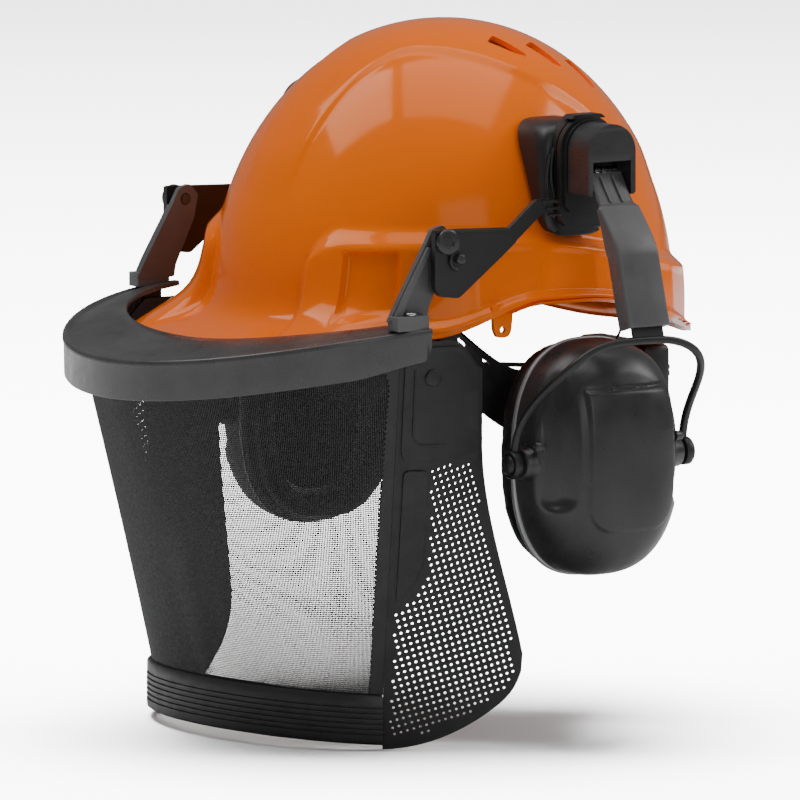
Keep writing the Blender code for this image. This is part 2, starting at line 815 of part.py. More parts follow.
def yoke_point(side, t):
    """The bow from the front pivot, up over the cup to the arm, and down to the rear pivot."""
    angle = math.pi * (1.0 - t)
    rise = math.sin(angle)
    top = yoke_top()
    y = CUP_Y + YOKE_HALF_SPAN * signed_power(math.cos(angle), 0.62)
    z = mix(CUP_Z, top.y, rise**0.75)
    x = mix(YOKE_PIVOT_X, top.x, smooth_step(0.0, 0.95, rise))
    return Vector((side * x, y, z))


def make_yoke(kit, side, label):
    def place(t):
        ahead = yoke_point(side, min(1.0, t + 0.004)) - yoke_point(side, max(0.0, t - 0.004))
        along = ahead.normalized()
        out = Vector((side, 0.0, 0.0))
        out = (out - along * out.dot(along)).normalized()
        return yoke_point(side, t), out, along.cross(out)

    yoke = kit.sweep(
        "cup_yoke_" + label,
        32,
        place,
        lambda t: rounded_box(*YOKE_WIRE, 1.2, corner=1),
        "dark",
    )
    down = Vector((side * ARM_DOWN[0], 0.0, ARM_DOWN[1]))
    end = Vector((side * yoke_top().x, HUB_Y, yoke_top().y))
    tongue = bmesh.new()
    bmesh.ops.create_cube(tongue, size=1.0)
    bmesh.ops.scale(tongue, vec=Vector(TONGUE_SIZE) * MM, verts=tongue.verts[:])
    across = Vector((0.0, 1.0, 0.0))
    thick = down.cross(across)
    frame = Matrix((across, thick, down)).transposed().to_4x4()
    frame.translation = (end - down * 13.0) * MM
    bmesh.ops.transform(tongue, matrix=frame, verts=tongue.verts[:])
    kit.join(yoke, kit.from_bmesh("tongue_" + label, tongue, "dark", cutter=True))


def make_cup(kit, side, label):
    middle = (side * YOKE_PIVOT_X, CUP_Y, CUP_Z)
    steps = 26

    def ring_solid(name, look, section, bands):
        def point(u, v):
            turn = 0.0 if u > 1.0 - 0.5 / steps else u
            size, x = section[round(v * bands)]
            dy, dz = oval(2.0 * math.pi * turn, CUP_HALF_WIDTH + size, CUP_HALF_HEIGHT + size)
            return side * x, CUP_Y + dy, CUP_Z + dz

        return kit.grid(name, steps, bands, point, look, pivot=middle)

    reach = CUSHION_OUT_X - CUSHION_IN_X
    section = []
    for angle in circle_angles(8):
        size = -7.0 + 6.0 * math.cos(angle)
        section.append((size, (CUSHION_IN_X + CUSHION_OUT_X) / 2 - reach / 2 * math.sin(angle)))
    section.append(section[0])
    ring_solid("cushion_" + label, "soft", section, 8)
    low = CUSHION_OUT_X + GAP
    plate = [(-16.0, low), (0.5, low), (0.5, low + PLATE_THICK), (-16.0, low + PLATE_THICK)]
    plate.append(plate[0])
    ring_solid("back_plate_" + label, "silver", plate, 4)

    def cup_point(u, v, inset):
        """The cup's skin from its rim to the middle of its outer face."""
        turn = 0.0 if u > 1.0 - 0.5 / steps else u
        lean = v * math.pi / 2.0
        share = math.cos(lean) ** 0.55
        depth = (CUP_DEPTH - inset) * math.sin(lean) ** 0.8
        dy, dz = oval(2.0 * math.pi * turn, CUP_HALF_WIDTH - inset, CUP_HALF_HEIGHT - inset)
        return side * (CUP_RIM_X + depth), CUP_Y + dy * share, CUP_Z + dz * share

    rows = 6

    def wall(u, v):
        share = v * (2 * rows + 1)
        if round(share) <= rows:
            return cup_point(u, 1.0 - round(share) / rows, CUP_WALL)
        return cup_point(u, (round(share) - rows - 1) / rows, 0.0)

    cup = kit.grid("cup_shell_" + label, steps, 2 * rows + 1, wall, "dark", pivot=middle)
    for end, word in ((-1, "front"), (1, "rear")):
        at = (side * YOKE_PIVOT_X, CUP_Y + end * (CUP_HALF_WIDTH - 1.6), CUP_Z)
        frame = frame_along((0, end, 0), at)
        boss = kit.drum(
            f"boss_{word}_{label}",
            pin_profile(BOSS_RADIUS, 6.0),
            frame,
            "dark",
            steps=20,
            cutter=True,
        )
        kit.join(cup, boss)

    def foam(u, v):
        turn = 0.0 if u > 1.0 - 0.5 / 20 else u
        ring = [(0.0, 0.0), (1.0, 0.0), (1.0, 0.6), (0.7, 1.0), (0.0, 1.0)]
        size, depth = ring[round(v * 4)]
        dy, dz = oval(2.0 * math.pi * turn, 24.0, 36.0)
        return side * (low + 1.0 + 20.0 * depth), CUP_Y + dy * size, CUP_Z + dz * size

    kit.grid("ear_foam_" + label, 20, 4, foam, "foam", pivot=middle)
    for end, word in ((-1, "front"), (1, "rear")):
        out = YOKE_HALF_SPAN + YOKE_WIRE[1] / 2 + GAP
        frame = frame_along((0, end, 0), (side * YOKE_PIVOT_X, CUP_Y + end * out, CUP_Z))
        profile = [(0, 0), (CAP_RADIUS, 0), (CAP_RADIUS, CAP_DEPTH - 1.0)]
        profile += [(CAP_RADIUS - 1.5, CAP_DEPTH), (0, CAP_DEPTH)]
        kit.drum(f"yoke_cap_{word}_{label}", profile, frame, "black", pivot=middle, steps=16)


# ---------------------------------------------------------------- visor


def bracket_outline():
    """The bracket's plate and the link that runs back and up to the mount base: Y, then Z."""
    plate = [(-82.0, 24.0), (-79.0, 20.0), (-69.0, 19.0), (-46.0, 36.0), (-36.0, 44.0)]
    link = [(-22.0, 56.0), (-15.5, 56.0), (-15.5, 63.0), (-25.0, 63.0), (-40.0, 51.0)]
    return plate + link + [(-82.0, 51.5)]


def make_brackets(kit):
    for side in (-1, 1):
        label = side_name(side)
        outline = bracket_outline()
        hole = ring(HINGE_Y, HINGE_Z, PIN_RADIUS + 0.8)
        frame = frame_yz(side * (BRACKET_X + BRACKET_THICK / 2))
        kit.plate("visor_bracket_" + label, outline, BRACKET_THICK, frame, "black", holes=(hole,))
        start = BRACKET_X + BRACKET_THICK + GAP
        frame = frame_along((-side, 0, 0), (side * (start + PIN_HEAD), HINGE_Y, HINGE_Z))
        length = start + PIN_HEAD - (VISOR_ARM_X - 3.0 - GAP)
        profile = [(0, 0), (5.4, 0.0), (6.2, 0.9), (6.2, PIN_HEAD)]
        profile += [(PIN_RADIUS, PIN_HEAD), (PIN_RADIUS, length), (0, length)]
        pivot = (side * BRACKET_X, HINGE_Y, HINGE_Z)
        kit.drum("visor_pin_" + label, profile, frame, "steel", pivot=pivot, steps=20)


def guard_plan(angle):
    """A point on the visor's plan; the angle is 0 at the front and 90 degrees at the left."""
    return GUARD_HALF_WIDTH * math.sin(angle), GUARD_CENTRE_Y - GUARD_DEPTH * math.cos(angle)


def guard_height(angle):
    return mix(-13.0, 5.0, 1.0 - math.cos(angle) ** 1.6 if math.cos(angle) > 0 else 1.0)


def guard_section(t):
    """Brow guard's section: an inner edge, a sloping top, a rolled lip and a front wall."""
    fade = smooth_step(0.0, 0.12, min(t, 1.0 - t))
    reach = mix(GUARD_END_REACH, GUARD_REACH, smooth_step(0.0, 0.5, min(t, 1.0 - t)))
    tall = mix(14.0, 18.0, fade)
    rise = reach * 0.2
    return [
        (0.0, 0.0),
        (0.0, -tall),
        (-GUARD_WALL, -tall),
        (-GUARD_WALL, -GUARD_WALL),
        (-reach, rise - GUARD_WALL),
        (-reach, rise),
        (-3.0, 1.4),
        (-1.2, 1.4),
    ]


def guard_place(t):
    angle = mix(-GUARD_TURN, GUARD_TURN, t)
    x, y = guard_plan(angle)
    tangent = Vector((GUARD_HALF_WIDTH * math.cos(angle), GUARD_DEPTH * math.sin(angle), 0))
    out = Vector((tangent.y, -tangent.x, 0.0)).normalized()
    return (x, y, guard_height(angle)), out, Vector((0, 0, 1))


def screen_plan(angle, share):
    """A point on the screen: share runs from the guard (0) down to the trim (1)."""
    wide = mix(GUARD_HALF_WIDTH - 5.5, 92.0, share)
    deep = mix(GUARD_DEPTH - 9.5, 58.0, share)
    centre = mix(GUARD_CENTRE_Y, -81.0, share)
    return wide * math.sin(angle), centre - deep * math.cos(angle)


def screen_low(angle):
    """The screen's lower edge, a little higher at the front than at its ends."""
    return SCREEN_LOW_Z + 4.0 * max(0.0, math.cos(angle))


def screen_z(angle, share):
    top = guard_height(angle) - GUARD_WALL - GAP
    return mix(top, screen_low(angle), share)


def make_visor(kit):
    pivot = (0.0, HINGE_Y, HINGE_Z)
    kit.sweep("brow_guard", 36, guard_place, guard_section, "grey", pivot=pivot)

    def screen(u, v):
        angle = mix(-SCREEN_TURN, SCREEN_TURN, u)
        x, y = screen_plan(angle, v)
        return x, y, screen_z(angle, v)

    mesh = kit.grid("mesh_screen", 24, 4, screen, "black", pivot=pivot)
    wall = mesh.modifiers.new("wall", "SOLIDIFY")
    wall.thickness = SCREEN_THICK * MM
    wall.offset = 0.0
    make_trim(kit, pivot)
    for side in (-1, 1):
        make_panel(kit, side, pivot)
        make_visor_arm(kit, side, pivot)


def make_trim(kit, pivot):
    """The ribbed bar that clips along the screen's lower edge."""

    def place(t):
        angle = mix(-TRIM_TURN, TRIM_TURN, t)
        x, y = screen_plan(angle, 1.0)
        ahead = Vector(screen_plan(angle + 0.01, 1.0)) - Vector(screen_plan(angle - 0.01, 1.0))
        out = Vector((ahead.y, -ahead.x, 0.0)).normalized()
        return (x, y, screen_low(angle) - TRIM_HEIGHT / 2), out, Vector((0, 0, 1))

    def section(t):
        slot = SCREEN_THICK / 2 + 3.0 * GAP
        half = TRIM_HEIGHT / 2
        return [
            (3.0, half + 2.0),
            (3.6, 2.0 - half),
            (0.0, -half),
            (-2.4, 2.0 - half),
            (-2.4, half + 2.0),
            (-slot, half + 2.0),
            (-slot, half - GAP),
            (slot, half - GAP),
            (slot, half + 2.0),
        ]

    kit.sweep("bottom_trim", 28, place, section, "black", pivot=pivot)


def panel_corner(u):
    """The lift of the lower edge where it rounds up into the rear edge."""
    part = max(0.0, (u - 0.8) / 0.2)
    return 11.0 * (1.0 - math.sqrt(max(0.0, 1.0 - part * part)))


def make_panel(kit, side, pivot):
    """The perforated side panel, bent back from the screen's edge towards the ear."""
    label = side_name(side)

    def panel(u, v):
        start = side * (SCREEN_TURN + PANEL_GAP)
        top = -1.0 - 14.0 * smooth_step(0.55, 1.0, u) ** 2
        low = mix(PANEL_LOW_Z, PANEL_LOW_Z + 34.0, u**1.9) + panel_corner(u)
        z = mix(top, low, v)
        drop = (top - z) / (top - PANEL_LOW_Z)
        front_x, front_y = screen_plan(start, min(1.0, drop * 1.1))
        flare = smooth_step(0.25, 0.95, drop)
        rear_y = mix(-54.0, -35.5, flare)
        rear_x = side * mix(113.0, 127.0, flare)
        bow = 1.5 * math.sin(math.pi * u) * side
        return mix(front_x, rear_x, u) + bow, mix(front_y, rear_y, u), z

    shape = kit.grid("side_panel_" + label, 12, 10, panel, "black", pivot=pivot)
    wall = shape.modifiers.new("wall", "SOLIDIFY")
    wall.thickness = PANEL_THICK * MM
    wall.offset = 0.0


def make_visor_arm(kit, side, pivot):
    """A blade from the hinge pin down to a foot that one rivet holds to the guard's end."""
    label = side_name(side)
    outline = [(-83.5, 44.0), (-76.0, 53.5), (-68.5, 47.0), (-71.0, 37.0)]
    outline += [(-82.5, FOOT_Z), (-104.0, FOOT_Z), (-99.0, 18.0)]
    hole = ring(HINGE_Y, HINGE_Z, PIN_RADIUS + GAP)
    frame = frame_yz(side * (VISOR_ARM_X - 1.5))
    arm = kit.plate("visor_arm_" + label, outline, 3.0, frame, "dark", pivot=pivot, holes=(hole,))
    foot = kit.block("arm_foot_" + label, (8.6, 18.0, 3.0), (side * 111.0, FOOT_Y, FOOT_Z + 1.5))
    kit.join(arm, foot)
    at = (side * RIVET_X, FOOT_Y, FOOT_Z - 6.5)
    hole = kit.drum(
        "rivet_hole_" + label,
        pin_profile(RIVET_RADIUS + GAP, 14.0),
        frame_along((0, 0, 1), at),
        "steel",
        steps=12,
        cutter=True,
    )
    kit.cut(arm, hole)
    kit.cut(bpy.data.objects["brow_guard"], hole)
    base = (side * RIVET_X, FOOT_Y, FOOT_Z - 4.4)
    profile = pin_profile(RIVET_RADIUS, 7.7, head_radius=3.0, head=1.6)
    frame = frame_along((0, 0, 1), base)
    kit.drum("guard_rivet_" + label, profile, frame, "steel", pivot=pivot, steps=12)


def main():
    clear_scene()
    kit = Kit(collection("forestry_helmet"), collection("cutters"))
    make_shell(kit)
    make_suspension(kit)
    for side in (-1, 1):
        make_muff(kit, side)
    make_brackets(kit)
    make_visor(kit)


main()
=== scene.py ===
"""Looks of the forestry helmet: glossy shell, satin plastics, wire mesh, padding and webbing.

+X is the wearer's left, -Y is the front and +Z is up. Lengths are in millimetres until a mesh is made.
"""

import json
import math

import bmesh
import bpy
from mathutils import Matrix, Vector, noise

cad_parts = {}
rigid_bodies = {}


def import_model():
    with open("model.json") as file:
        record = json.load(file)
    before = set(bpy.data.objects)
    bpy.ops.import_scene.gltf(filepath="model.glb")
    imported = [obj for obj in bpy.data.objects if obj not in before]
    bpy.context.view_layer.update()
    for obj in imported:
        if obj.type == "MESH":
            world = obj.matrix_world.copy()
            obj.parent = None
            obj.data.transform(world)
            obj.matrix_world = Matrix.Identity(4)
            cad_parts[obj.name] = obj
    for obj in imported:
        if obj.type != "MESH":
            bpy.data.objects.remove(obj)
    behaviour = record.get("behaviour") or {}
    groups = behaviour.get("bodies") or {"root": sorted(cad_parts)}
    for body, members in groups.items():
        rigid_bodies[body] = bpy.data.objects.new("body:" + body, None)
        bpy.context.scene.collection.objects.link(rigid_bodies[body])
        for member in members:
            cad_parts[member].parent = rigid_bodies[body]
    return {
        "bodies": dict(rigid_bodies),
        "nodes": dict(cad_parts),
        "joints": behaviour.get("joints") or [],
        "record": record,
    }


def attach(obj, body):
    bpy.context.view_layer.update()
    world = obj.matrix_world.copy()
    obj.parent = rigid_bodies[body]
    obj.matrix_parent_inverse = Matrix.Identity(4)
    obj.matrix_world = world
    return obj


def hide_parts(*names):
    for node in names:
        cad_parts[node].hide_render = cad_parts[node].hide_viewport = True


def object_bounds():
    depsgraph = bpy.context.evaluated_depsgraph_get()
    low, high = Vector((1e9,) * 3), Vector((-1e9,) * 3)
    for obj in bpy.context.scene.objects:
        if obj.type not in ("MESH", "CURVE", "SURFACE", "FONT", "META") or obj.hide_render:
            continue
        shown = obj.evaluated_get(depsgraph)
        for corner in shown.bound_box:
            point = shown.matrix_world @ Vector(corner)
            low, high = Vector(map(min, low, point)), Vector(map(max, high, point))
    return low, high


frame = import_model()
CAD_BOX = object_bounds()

MM = 0.001

# Camera
CAMERA_TURN = math.radians(56.0)
CAMERA_RISE = math.radians(7.0)
CAMERA_FAR = 7143.0
VIEW_CENTRE = (-4.26, -21.07, -44.4)
VIEW_WIDTH = 381.0
SENSOR = 36.0

# Shell
SHELL_HALF_WIDTH = 104.0
SHELL_HALF_LENGTH = 115.5
SHELL_HEIGHT = 137.5
SHELL_WALL = 2.4
DOME_POWER = 2.06
PEAK_REACH = 28.0
SKIRT_STEP = 4.0
RIM_LIP = 3.0
LUG_X = 102.1
LUG_Y = -36.0
LUG_HOLE_Z = 0.8
LUG_HOLE = 1.5
LUG_THICK = 2.2
SKIN_DROP = 1.4
RECESS_DEPTH = 3.2
SHELL_COLUMNS = 480
SHELL_ROWS = 124
VENT_X = 41.0
VENT_START_Y = 10.0
VENT_PITCH = 21.0
VENT_TURN = math.radians(52.0)
VENT_DEPTH = 24.0

# Ear muffs
CUP_Y = 3.0
CUP_Z = -60.0
CUP_HALF_WIDTH = 41.5
CUP_HALF_HEIGHT = 56.0
CUP_POWER = 2.5
CUSHION_IN_X = 99.0
CUSHION_OUT_X = 114.0
CUP_RIM_X = 117.6
CUP_DEPTH = 38.0
CUP_WALL = 2.2
CUP_COLUMNS = 220
CUP_ROWS = 84
PLATE_RAISE = 1.5
PLATE_MIDDLE_Y = 5.0
PLATE_HALF = 24.0
PLATE_LOW_Z = -92.0
PLATE_TOP_Z = -25.0
PLATE_CORNER = 13.0
GROOVE_YS = (-31.0, 37.0)
GROOVE_ENDS = (-75.0, -18.0)
GROOVE_RADIUS = 7.0
GROOVE_DEPTH = 6.5
BASE_Y = 5.5
BASE_Z = 70.0
HUB_Y = 8.0
HUB_Z = 84.0
HUB_X = 113.5
HUB_RADIUS = 13.5
HUB_DEPTH = 17.0
ARM_PIVOT_X = 122.5
ARM_PIVOT_Z = 74.0
ARM_NECK_WIDTH = 19.0
ARM_WIDTH = 23.0
ARM_WALL = 2.2
ARM_FLANGE = 8.5
ARM_TOP_X = 130.5
ARM_END = (161.0, 5.0)
ARM_DOWN = (0.277, -0.961)
ARM_STRAIGHT = 34.0
ARM_KNEE_SHARE = 0.6
TONGUE_DROP = 2.1
SPRING_RADIUS = 2.2
SPRING_WIRE = 0.5
SPRING_TURNS = 3
YOKE_PIVOT_X = 127.0
YOKE_HALF_SPAN = 48.0

# Visor
HINGE_Y = -76.0
HINGE_Z = 46.0
BRACKET_X = 113.0
BRACKET_THICK = 3.2
VISOR_ARM_X = 109.5
GUARD_CENTRE_Y = -72.0
GUARD_HALF_WIDTH = 118.0
GUARD_DEPTH = 121.0
GUARD_WALL = 2.4
GUARD_REACH = 44.0
GUARD_END_REACH = 16.0
GUARD_TURN = math.radians(84.0)
FOOT_Z = 9.0
FOOT_Y = -94.0
SCREEN_TURN = math.radians(76.0)
WINDOW_TURN_TOP = 74.6
WINDOW_TURN_LOW = 70.8
TRIM_END = math.radians(76.3)
PANEL_GAP = math.radians(0.7)
SCREEN_LOW_Z = -172.0
TRIM_HEIGHT = 22.0
PANEL_LOW_Z = -195.0
PANEL_THICK = 1.6
WIRE = 0.56
UPRIGHTS = 300
LEVELS = 172
HOLE_PITCH = 3.05
HOLE = 1.28
HOLE_TURN = math.radians(17.0)
HOLE_MARGIN = 4.2

# Suspension
BAND_HALF_WIDTH = 78.0
BAND_FRONT_Y = -98.0
BAND_REAR_Y = 99.0
BAND_THICK = 1.6
NAPE_Z = -38.0
TAIL_RADIUS = 84.0
TAIL_CENTRE_Y = 19.5
TAIL_START = math.radians(112.0)
TAIL_END = math.radians(178.0)
TAIL_OFFSET = 4.3
TAIL_TEETH = 14
HOUSING_FRONT = TAIL_CENTRE_Y + TAIL_RADIUS - 6.0
HOUSING_DEPTH = 16.3
BAND_TURN = math.radians(128.0)
SWEATBAND_TURN = math.radians(60.5)
NAPE_PAD_TURN = math.radians(23.0)
KNOB_RIBS = 24

# Studio
SKY = 0.22
FLOOR_BOUNCE = 0.12
FLOOR_POWER = 1050.0
KEY_POWER = 36.0
FILL_POWER = 7.0
RIM_POWER = 20.0
TOP_POWER = 19.0


def smooth_step(low, high, value):
    share = min(1.0, max(0.0, (value - low) / (high - low)))
    return share * share * (3.0 - 2.0 * share)


def mix(low, high, share):
    return low + (high - low) * share


def table_line(value, knots):
    """A value read from a broken line of (place, height) knots."""
    if value <= knots[0][0]:
        return knots[0][1]
    for (a, low), (b, high) in zip(knots, knots[1:]):
        if value <= b:
            return mix(low, high, (value - a) / (b - a))
    return knots[-1][1]


def signed_power(value, power):
    return math.copysign(abs(value) ** power, value)


def side_name(side):
    return "left" if side > 0 else "right"


# ---------------------------------------------------------------- materials


# Pointiness range over which sharp edges get the painted highlight.
EDGE_RANGE = (0.515, 0.6)


class Paint:
    """Builds one node material; every pattern is laid in the piece's own coordinates in metres."""

    def __init__(self, name, colour, roughness, metallic=0.0):
        self.made = bpy.data.materials.new(name)
        self.made.use_nodes = True
        self.tree = self.made.node_tree
        self.shader = self.tree.nodes["Principled BSDF"]
        self.shader.inputs["Base Color"].default_value = (*colour, 1.0)
        self.shader.inputs["Roughness"].default_value = roughness
        self.shader.inputs["Metallic"].default_value = metallic
        self.made.diffuse_color = (*colour, 1.0)
        self.place = self.tree.nodes.new("ShaderNodeTexCoord").outputs["Object"]
        self.normal = None

    def node(self, kind, **inputs):
        made = self.tree.nodes.new(kind)
        for key, value in inputs.items():
            socket = made.inputs[key.replace("_", " ")]
            if isinstance(value, bpy.types.NodeSocket):
                self.tree.links.new(value, socket)
            else:
                socket.default_value = value
        return made

    def noise(self, scale, detail=3.0, place=None):
        made = self.node("ShaderNodeTexNoise", Scale=scale, Detail=detail, Vector=place or self.place)
        return made.outputs["Fac"]

    def cells(self, scale, feature="F1"):
        made = self.node("ShaderNodeTexVoronoi", Scale=scale, Vector=self.place)
        made.feature = feature
        return made.outputs["Distance"]

    def ranged(self, value, low, high, source=(0.3, 0.7)):
        made = self.node("ShaderNodeMapRange", Value=value)
        made.inputs["From Min"].default_value = source[0]
        made.inputs["From Max"].default_value = source[1]
        made.inputs["To Min"].default_value = low
        made.inputs["To Max"].default_value = high
        return made.outputs["Result"]

    def blend(self, factor, other):
        """Blends the base colour with another one by a factor."""
        made = self.tree.nodes.new("ShaderNodeMix")
        made.data_type = "RGBA"
        self.tree.links.new(factor, made.inputs["Factor"])
        old = self.shader.inputs["Base Color"]
        if old.is_linked:
            self.tree.links.new(old.links[0].from_socket, made.inputs["A"])
        else:
            made.inputs["A"].default_value = old.default_value
        made.inputs["B"].default_value = (*other, 1.0)
        self.tree.links.new(made.outputs["Result"], old)

    def vary_colour(self, value, other, share=1.0):
        self.blend(self.ranged(value, 0.0, share), other)

    def vary_roughness(self, value, low, high):
        self.tree.links.new(self.ranged(value, low, high), self.shader.inputs["Roughness"])

    def bump(self, height, depth, strength=1.0):
        """Adds one layer of relief, in metres, over those already laid."""
        made = self.node("ShaderNodeBump", Strength=strength, Distance=depth, Height=height)
        if self.normal is not None:
            self.tree.links.new(self.normal, made.inputs["Normal"])
        self.normal = made.outputs["Normal"]
        self.tree.links.new(self.normal, self.shader.inputs["Normal"])

    def edge_highlight_and_wear(self, other, share):
        """Paints sharp edges lighter: a painted highlight where edges catch a little more light, as on
        rubbed plastic.
        """
        point = self.tree.nodes.new("ShaderNodeNewGeometry").outputs["Pointiness"]
        self.blend(self.ranged(point, 0.0, share, source=EDGE_RANGE), other)


def moulded(name, colour, light, roughness, grain=0.000012, scale=2600.0):
    """Injection-moulded plastic with a fine spark-eroded grain."""
    paint = Paint(name, colour, roughness)
    cloudy = paint.noise(38.0, 4.0)
    paint.vary_colour(cloudy, light, 0.35)
    paint.vary_roughness(paint.noise(120.0, 5.0), roughness - 0.06, roughness + 0.07)
    paint.bump(paint.noise(scale, 2.0), grain)
    paint.bump(paint.noise(190.0, 3.0), 0.00002, 0.5)
    # sharp edges painted lighter: a painted highlight
    paint.edge_highlight_and_wear(light, 0.55)
    return paint


def make_paints():
    paints = {}
    shell = Paint("shell_orange", (1.0, 0.165, 0.0), 0.2)
    shell.vary_colour(shell.noise(14.0, 4.0), (1.0, 0.185, 0.0), 0.6)
    shell.vary_roughness(shell.noise(70.0, 5.0), 0.1, 0.17)
    shell.shader.inputs["Specular IOR Level"].default_value = 0.32
    shell.bump(shell.noise(260.0, 2.0), 0.000012, 0.6)
    shell.bump(shell.noise(26.0, 2.0), 0.00009, 0.5)
    shell.shader.inputs["Coat Weight"].default_value = 0.12
    shell.shader.inputs["Specular Tint"].default_value = (1.0, 0.62, 0.35, 1.0)
    shell.shader.inputs["Coat Roughness"].default_value = 0.06
    shell.shader.inputs["Subsurface Weight"].default_value = 0.06
    shell.shader.inputs["Subsurface Radius"].default_value = (0.004, 0.0012, 0.0004)
    shell.shader.inputs["Subsurface Scale"].default_value = 1.0
    paints["orange"] = shell
    paints["dark"] = moulded("cup_dark", (0.017, 0.017, 0.018), (0.055, 0.055, 0.057), 0.32)
    paints["grey"] = moulded("satin_grey", (0.07, 0.068, 0.07), (0.16, 0.16, 0.164), 0.4)
    paints["guard"] = moulded("guard_grey", (0.03, 0.03, 0.031), (0.1, 0.1, 0.102), 0.3)
    paints["black"] = moulded("matt_black", (0.006, 0.006, 0.0065), (0.02, 0.02, 0.021), 0.42)
    paints["panel"] = moulded("panel_black", (0.008, 0.008, 0.0085), (0.022, 0.022, 0.023), 0.5)
    steel = Paint("bright_steel", (0.42, 0.42, 0.44), 0.3, 1.0)
    steel.vary_roughness(steel.noise(900.0, 4.0), 0.2, 0.38)
    steel.vary_colour(steel.noise(160.0, 4.0), (0.26, 0.25, 0.25), 0.7)
    steel.bump(steel.noise(1500.0, 2.0), 0.000015)
    paints["steel"] = steel
    paints["pin"] = moulded("pin_black", (0.012, 0.012, 0.013), (0.05, 0.05, 0.05), 0.3)
    wire = Paint("wire_black", (0.03, 0.03, 0.031), 0.34, 0.3)
    wire.vary_colour(wire.noise(700.0, 3.0), (0.09, 0.09, 0.092), 0.6)
    wire.vary_roughness(wire.noise(900.0, 3.0), 0.28, 0.5)
    paints["screen"] = wire
    silver = Paint("plate_silver", (0.3, 0.305, 0.31), 0.34, 0.5)
    silver.vary_roughness(silver.noise(150.0, 4.0), 0.28, 0.44)
    silver.vary_colour(silver.noise(60.0, 4.0), (0.4, 0.4, 0.405), 0.6)
    silver.bump(silver.noise(1800.0, 2.0), 0.00001)
    paints["silver"] = silver
    vinyl = Paint("cushion_vinyl", (0.008, 0.008, 0.0085), 0.46)
    vinyl.vary_colour(vinyl.noise(90.0, 5.0), (0.022, 0.022, 0.023), 0.5)
    vinyl.vary_roughness(vinyl.noise(240.0, 4.0), 0.36, 0.56)
    vinyl.bump(vinyl.cells(900.0), 0.00008, 0.6)
    vinyl.bump(vinyl.noise(110.0, 4.0), 0.0006, 0.5)
    paints["soft"] = vinyl
    towel = Paint("sweatband_cloth", (0.03, 0.03, 0.032), 0.9)
    towel.vary_colour(towel.noise(500.0, 4.0), (0.07, 0.07, 0.074), 0.7)
    towel.bump(towel.cells(1100.0), 0.0004, 0.8)
    towel.shader.inputs["Sheen Weight"].default_value = 0.25
    paints["towel"] = towel
    web = Paint("strap_web", (0.09, 0.09, 0.095), 0.85)
    ribs = web.node("ShaderNodeTexWave", Scale=240.0, Vector=web.place, Distortion=0.6)
    cross = web.node("ShaderNodeTexWave", Scale=300.0, Vector=web.place, Distortion=0.6)
    cross.bands_direction = "Y"
    web.vary_colour(ribs.outputs["Fac"], (0.035, 0.035, 0.038), 0.8)
    web.vary_colour(web.noise(300.0, 4.0), (0.15, 0.15, 0.155), 0.5)
    web.bump(ribs.outputs["Fac"], 0.0003)
    web.bump(cross.outputs["Fac"], 0.0002)
    web.shader.inputs["Sheen Weight"].default_value = 0.2
    paints["web"] = web
    foam = Paint("open_foam", (0.05, 0.05, 0.055), 0.95)
    foam.vary_colour(foam.cells(700.0), (0.015, 0.015, 0.016), 0.9)
    foam.bump(foam.cells(700.0), 0.0007)
    foam.bump(foam.noise(260.0, 4.0), 0.001, 0.6)
    paints["foam"] = foam
    return paints


PAINTS = make_paints()


# ---------------------------------------------------------------- making pieces


def finish_piece(name, shape, look, body, replaces=(), crease=38.0, bevel=0.0, smooth=True):
    bmesh.ops.recalc_face_normals(shape, faces=shape.faces[:])
    mesh = bpy.data.meshes.new(name)
    shape.to_mesh(mesh)
    shape.free()
    if smooth:
        mesh.shade_smooth()
        mesh.set_sharp_from_angle(angle=math.radians(crease))
    return finish_mesh(name, mesh, look, body, replaces, bevel)


def finish_mesh(name, mesh, look, body, replaces=(), bevel=0.0):
    made = bpy.data.objects.new(name, mesh)
    bpy.context.scene.collection.objects.link(made)
    mesh.materials.clear()
    mesh.materials.append(PAINTS[look].made)
    if bevel:
        edge = made.modifiers.new("edge", "BEVEL")
        edge.width = bevel * MM
        edge.segments = 2
        edge.limit_method = "ANGLE"
        edge.angle_limit = math.radians(35.0)
        edge.harden_normals = True
        edge.use_clamp_overlap = True
    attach(made, body)
    if replaces:
        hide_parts(*replaces)
    return made


def grid_shape(rule, across, along, wrap_u=False, wrap_v=False, caps=False, merge=0.02):
    """A surface whose point (u, v), each 0 to 1, is given by a rule in millimetres."""
    shape = bmesh.new()
    count_u = across if wrap_u else across + 1
    count_v = along if wrap_v else along + 1
    rows = []
    for i in range(count_u):
        row = [shape.verts.new(Vector(rule(i / across, j / along)) * MM) for j in range(count_v)]
        rows.append(row)
    for i in range(across):
        for j in range(along):
            a = rows[i][j]
            b = rows[(i + 1) % count_u][j]
            c = rows[(i + 1) % count_u][(j + 1) % count_v]
            d = rows[i][(j + 1) % count_v]
            shape.faces.new((a, b, c, d))
    if caps:
        if wrap_v:
            shape.faces.new(rows[0])
            shape.faces.new(rows[-1])
        if wrap_u:
            shape.faces.new([row[0] for row in rows])
            shape.faces.new([row[-1] for row in rows])
    if merge:
        bmesh.ops.remove_doubles(shape, verts=shape.verts[:], dist=merge * MM)
    return shape


def sweep_shape(place, section, steps, closed=False):
    """A closed section carried along a path; place(t) gives a centre and two side directions."""
    count = len(section(0.0))

    def rule(u, v):
        a, b = section(u)[round(v * count) % count]
        centre, first, second = place(u)
        return Vector(centre) + Vector(first) * a + Vector(second) * b

    return grid_shape(rule, steps, count, wrap_u=closed, wrap_v=True, caps=not closed)


def drum_shape(profile, frame, steps=48):
    """A turned solid: (radius, height) points swept about the frame's Z axis."""

    def rule(u, v):
        radius, height = profile[round(v * (len(profile) - 1))]
        angle = 2.0 * math.pi * u
        turned = Vector((radius * math.cos(angle), radius * math.sin(angle), height))
        return frame @ (turned * MM) / MM

    return grid_shape(rule, steps, len(profile) - 1, wrap_u=True, merge=0.01)


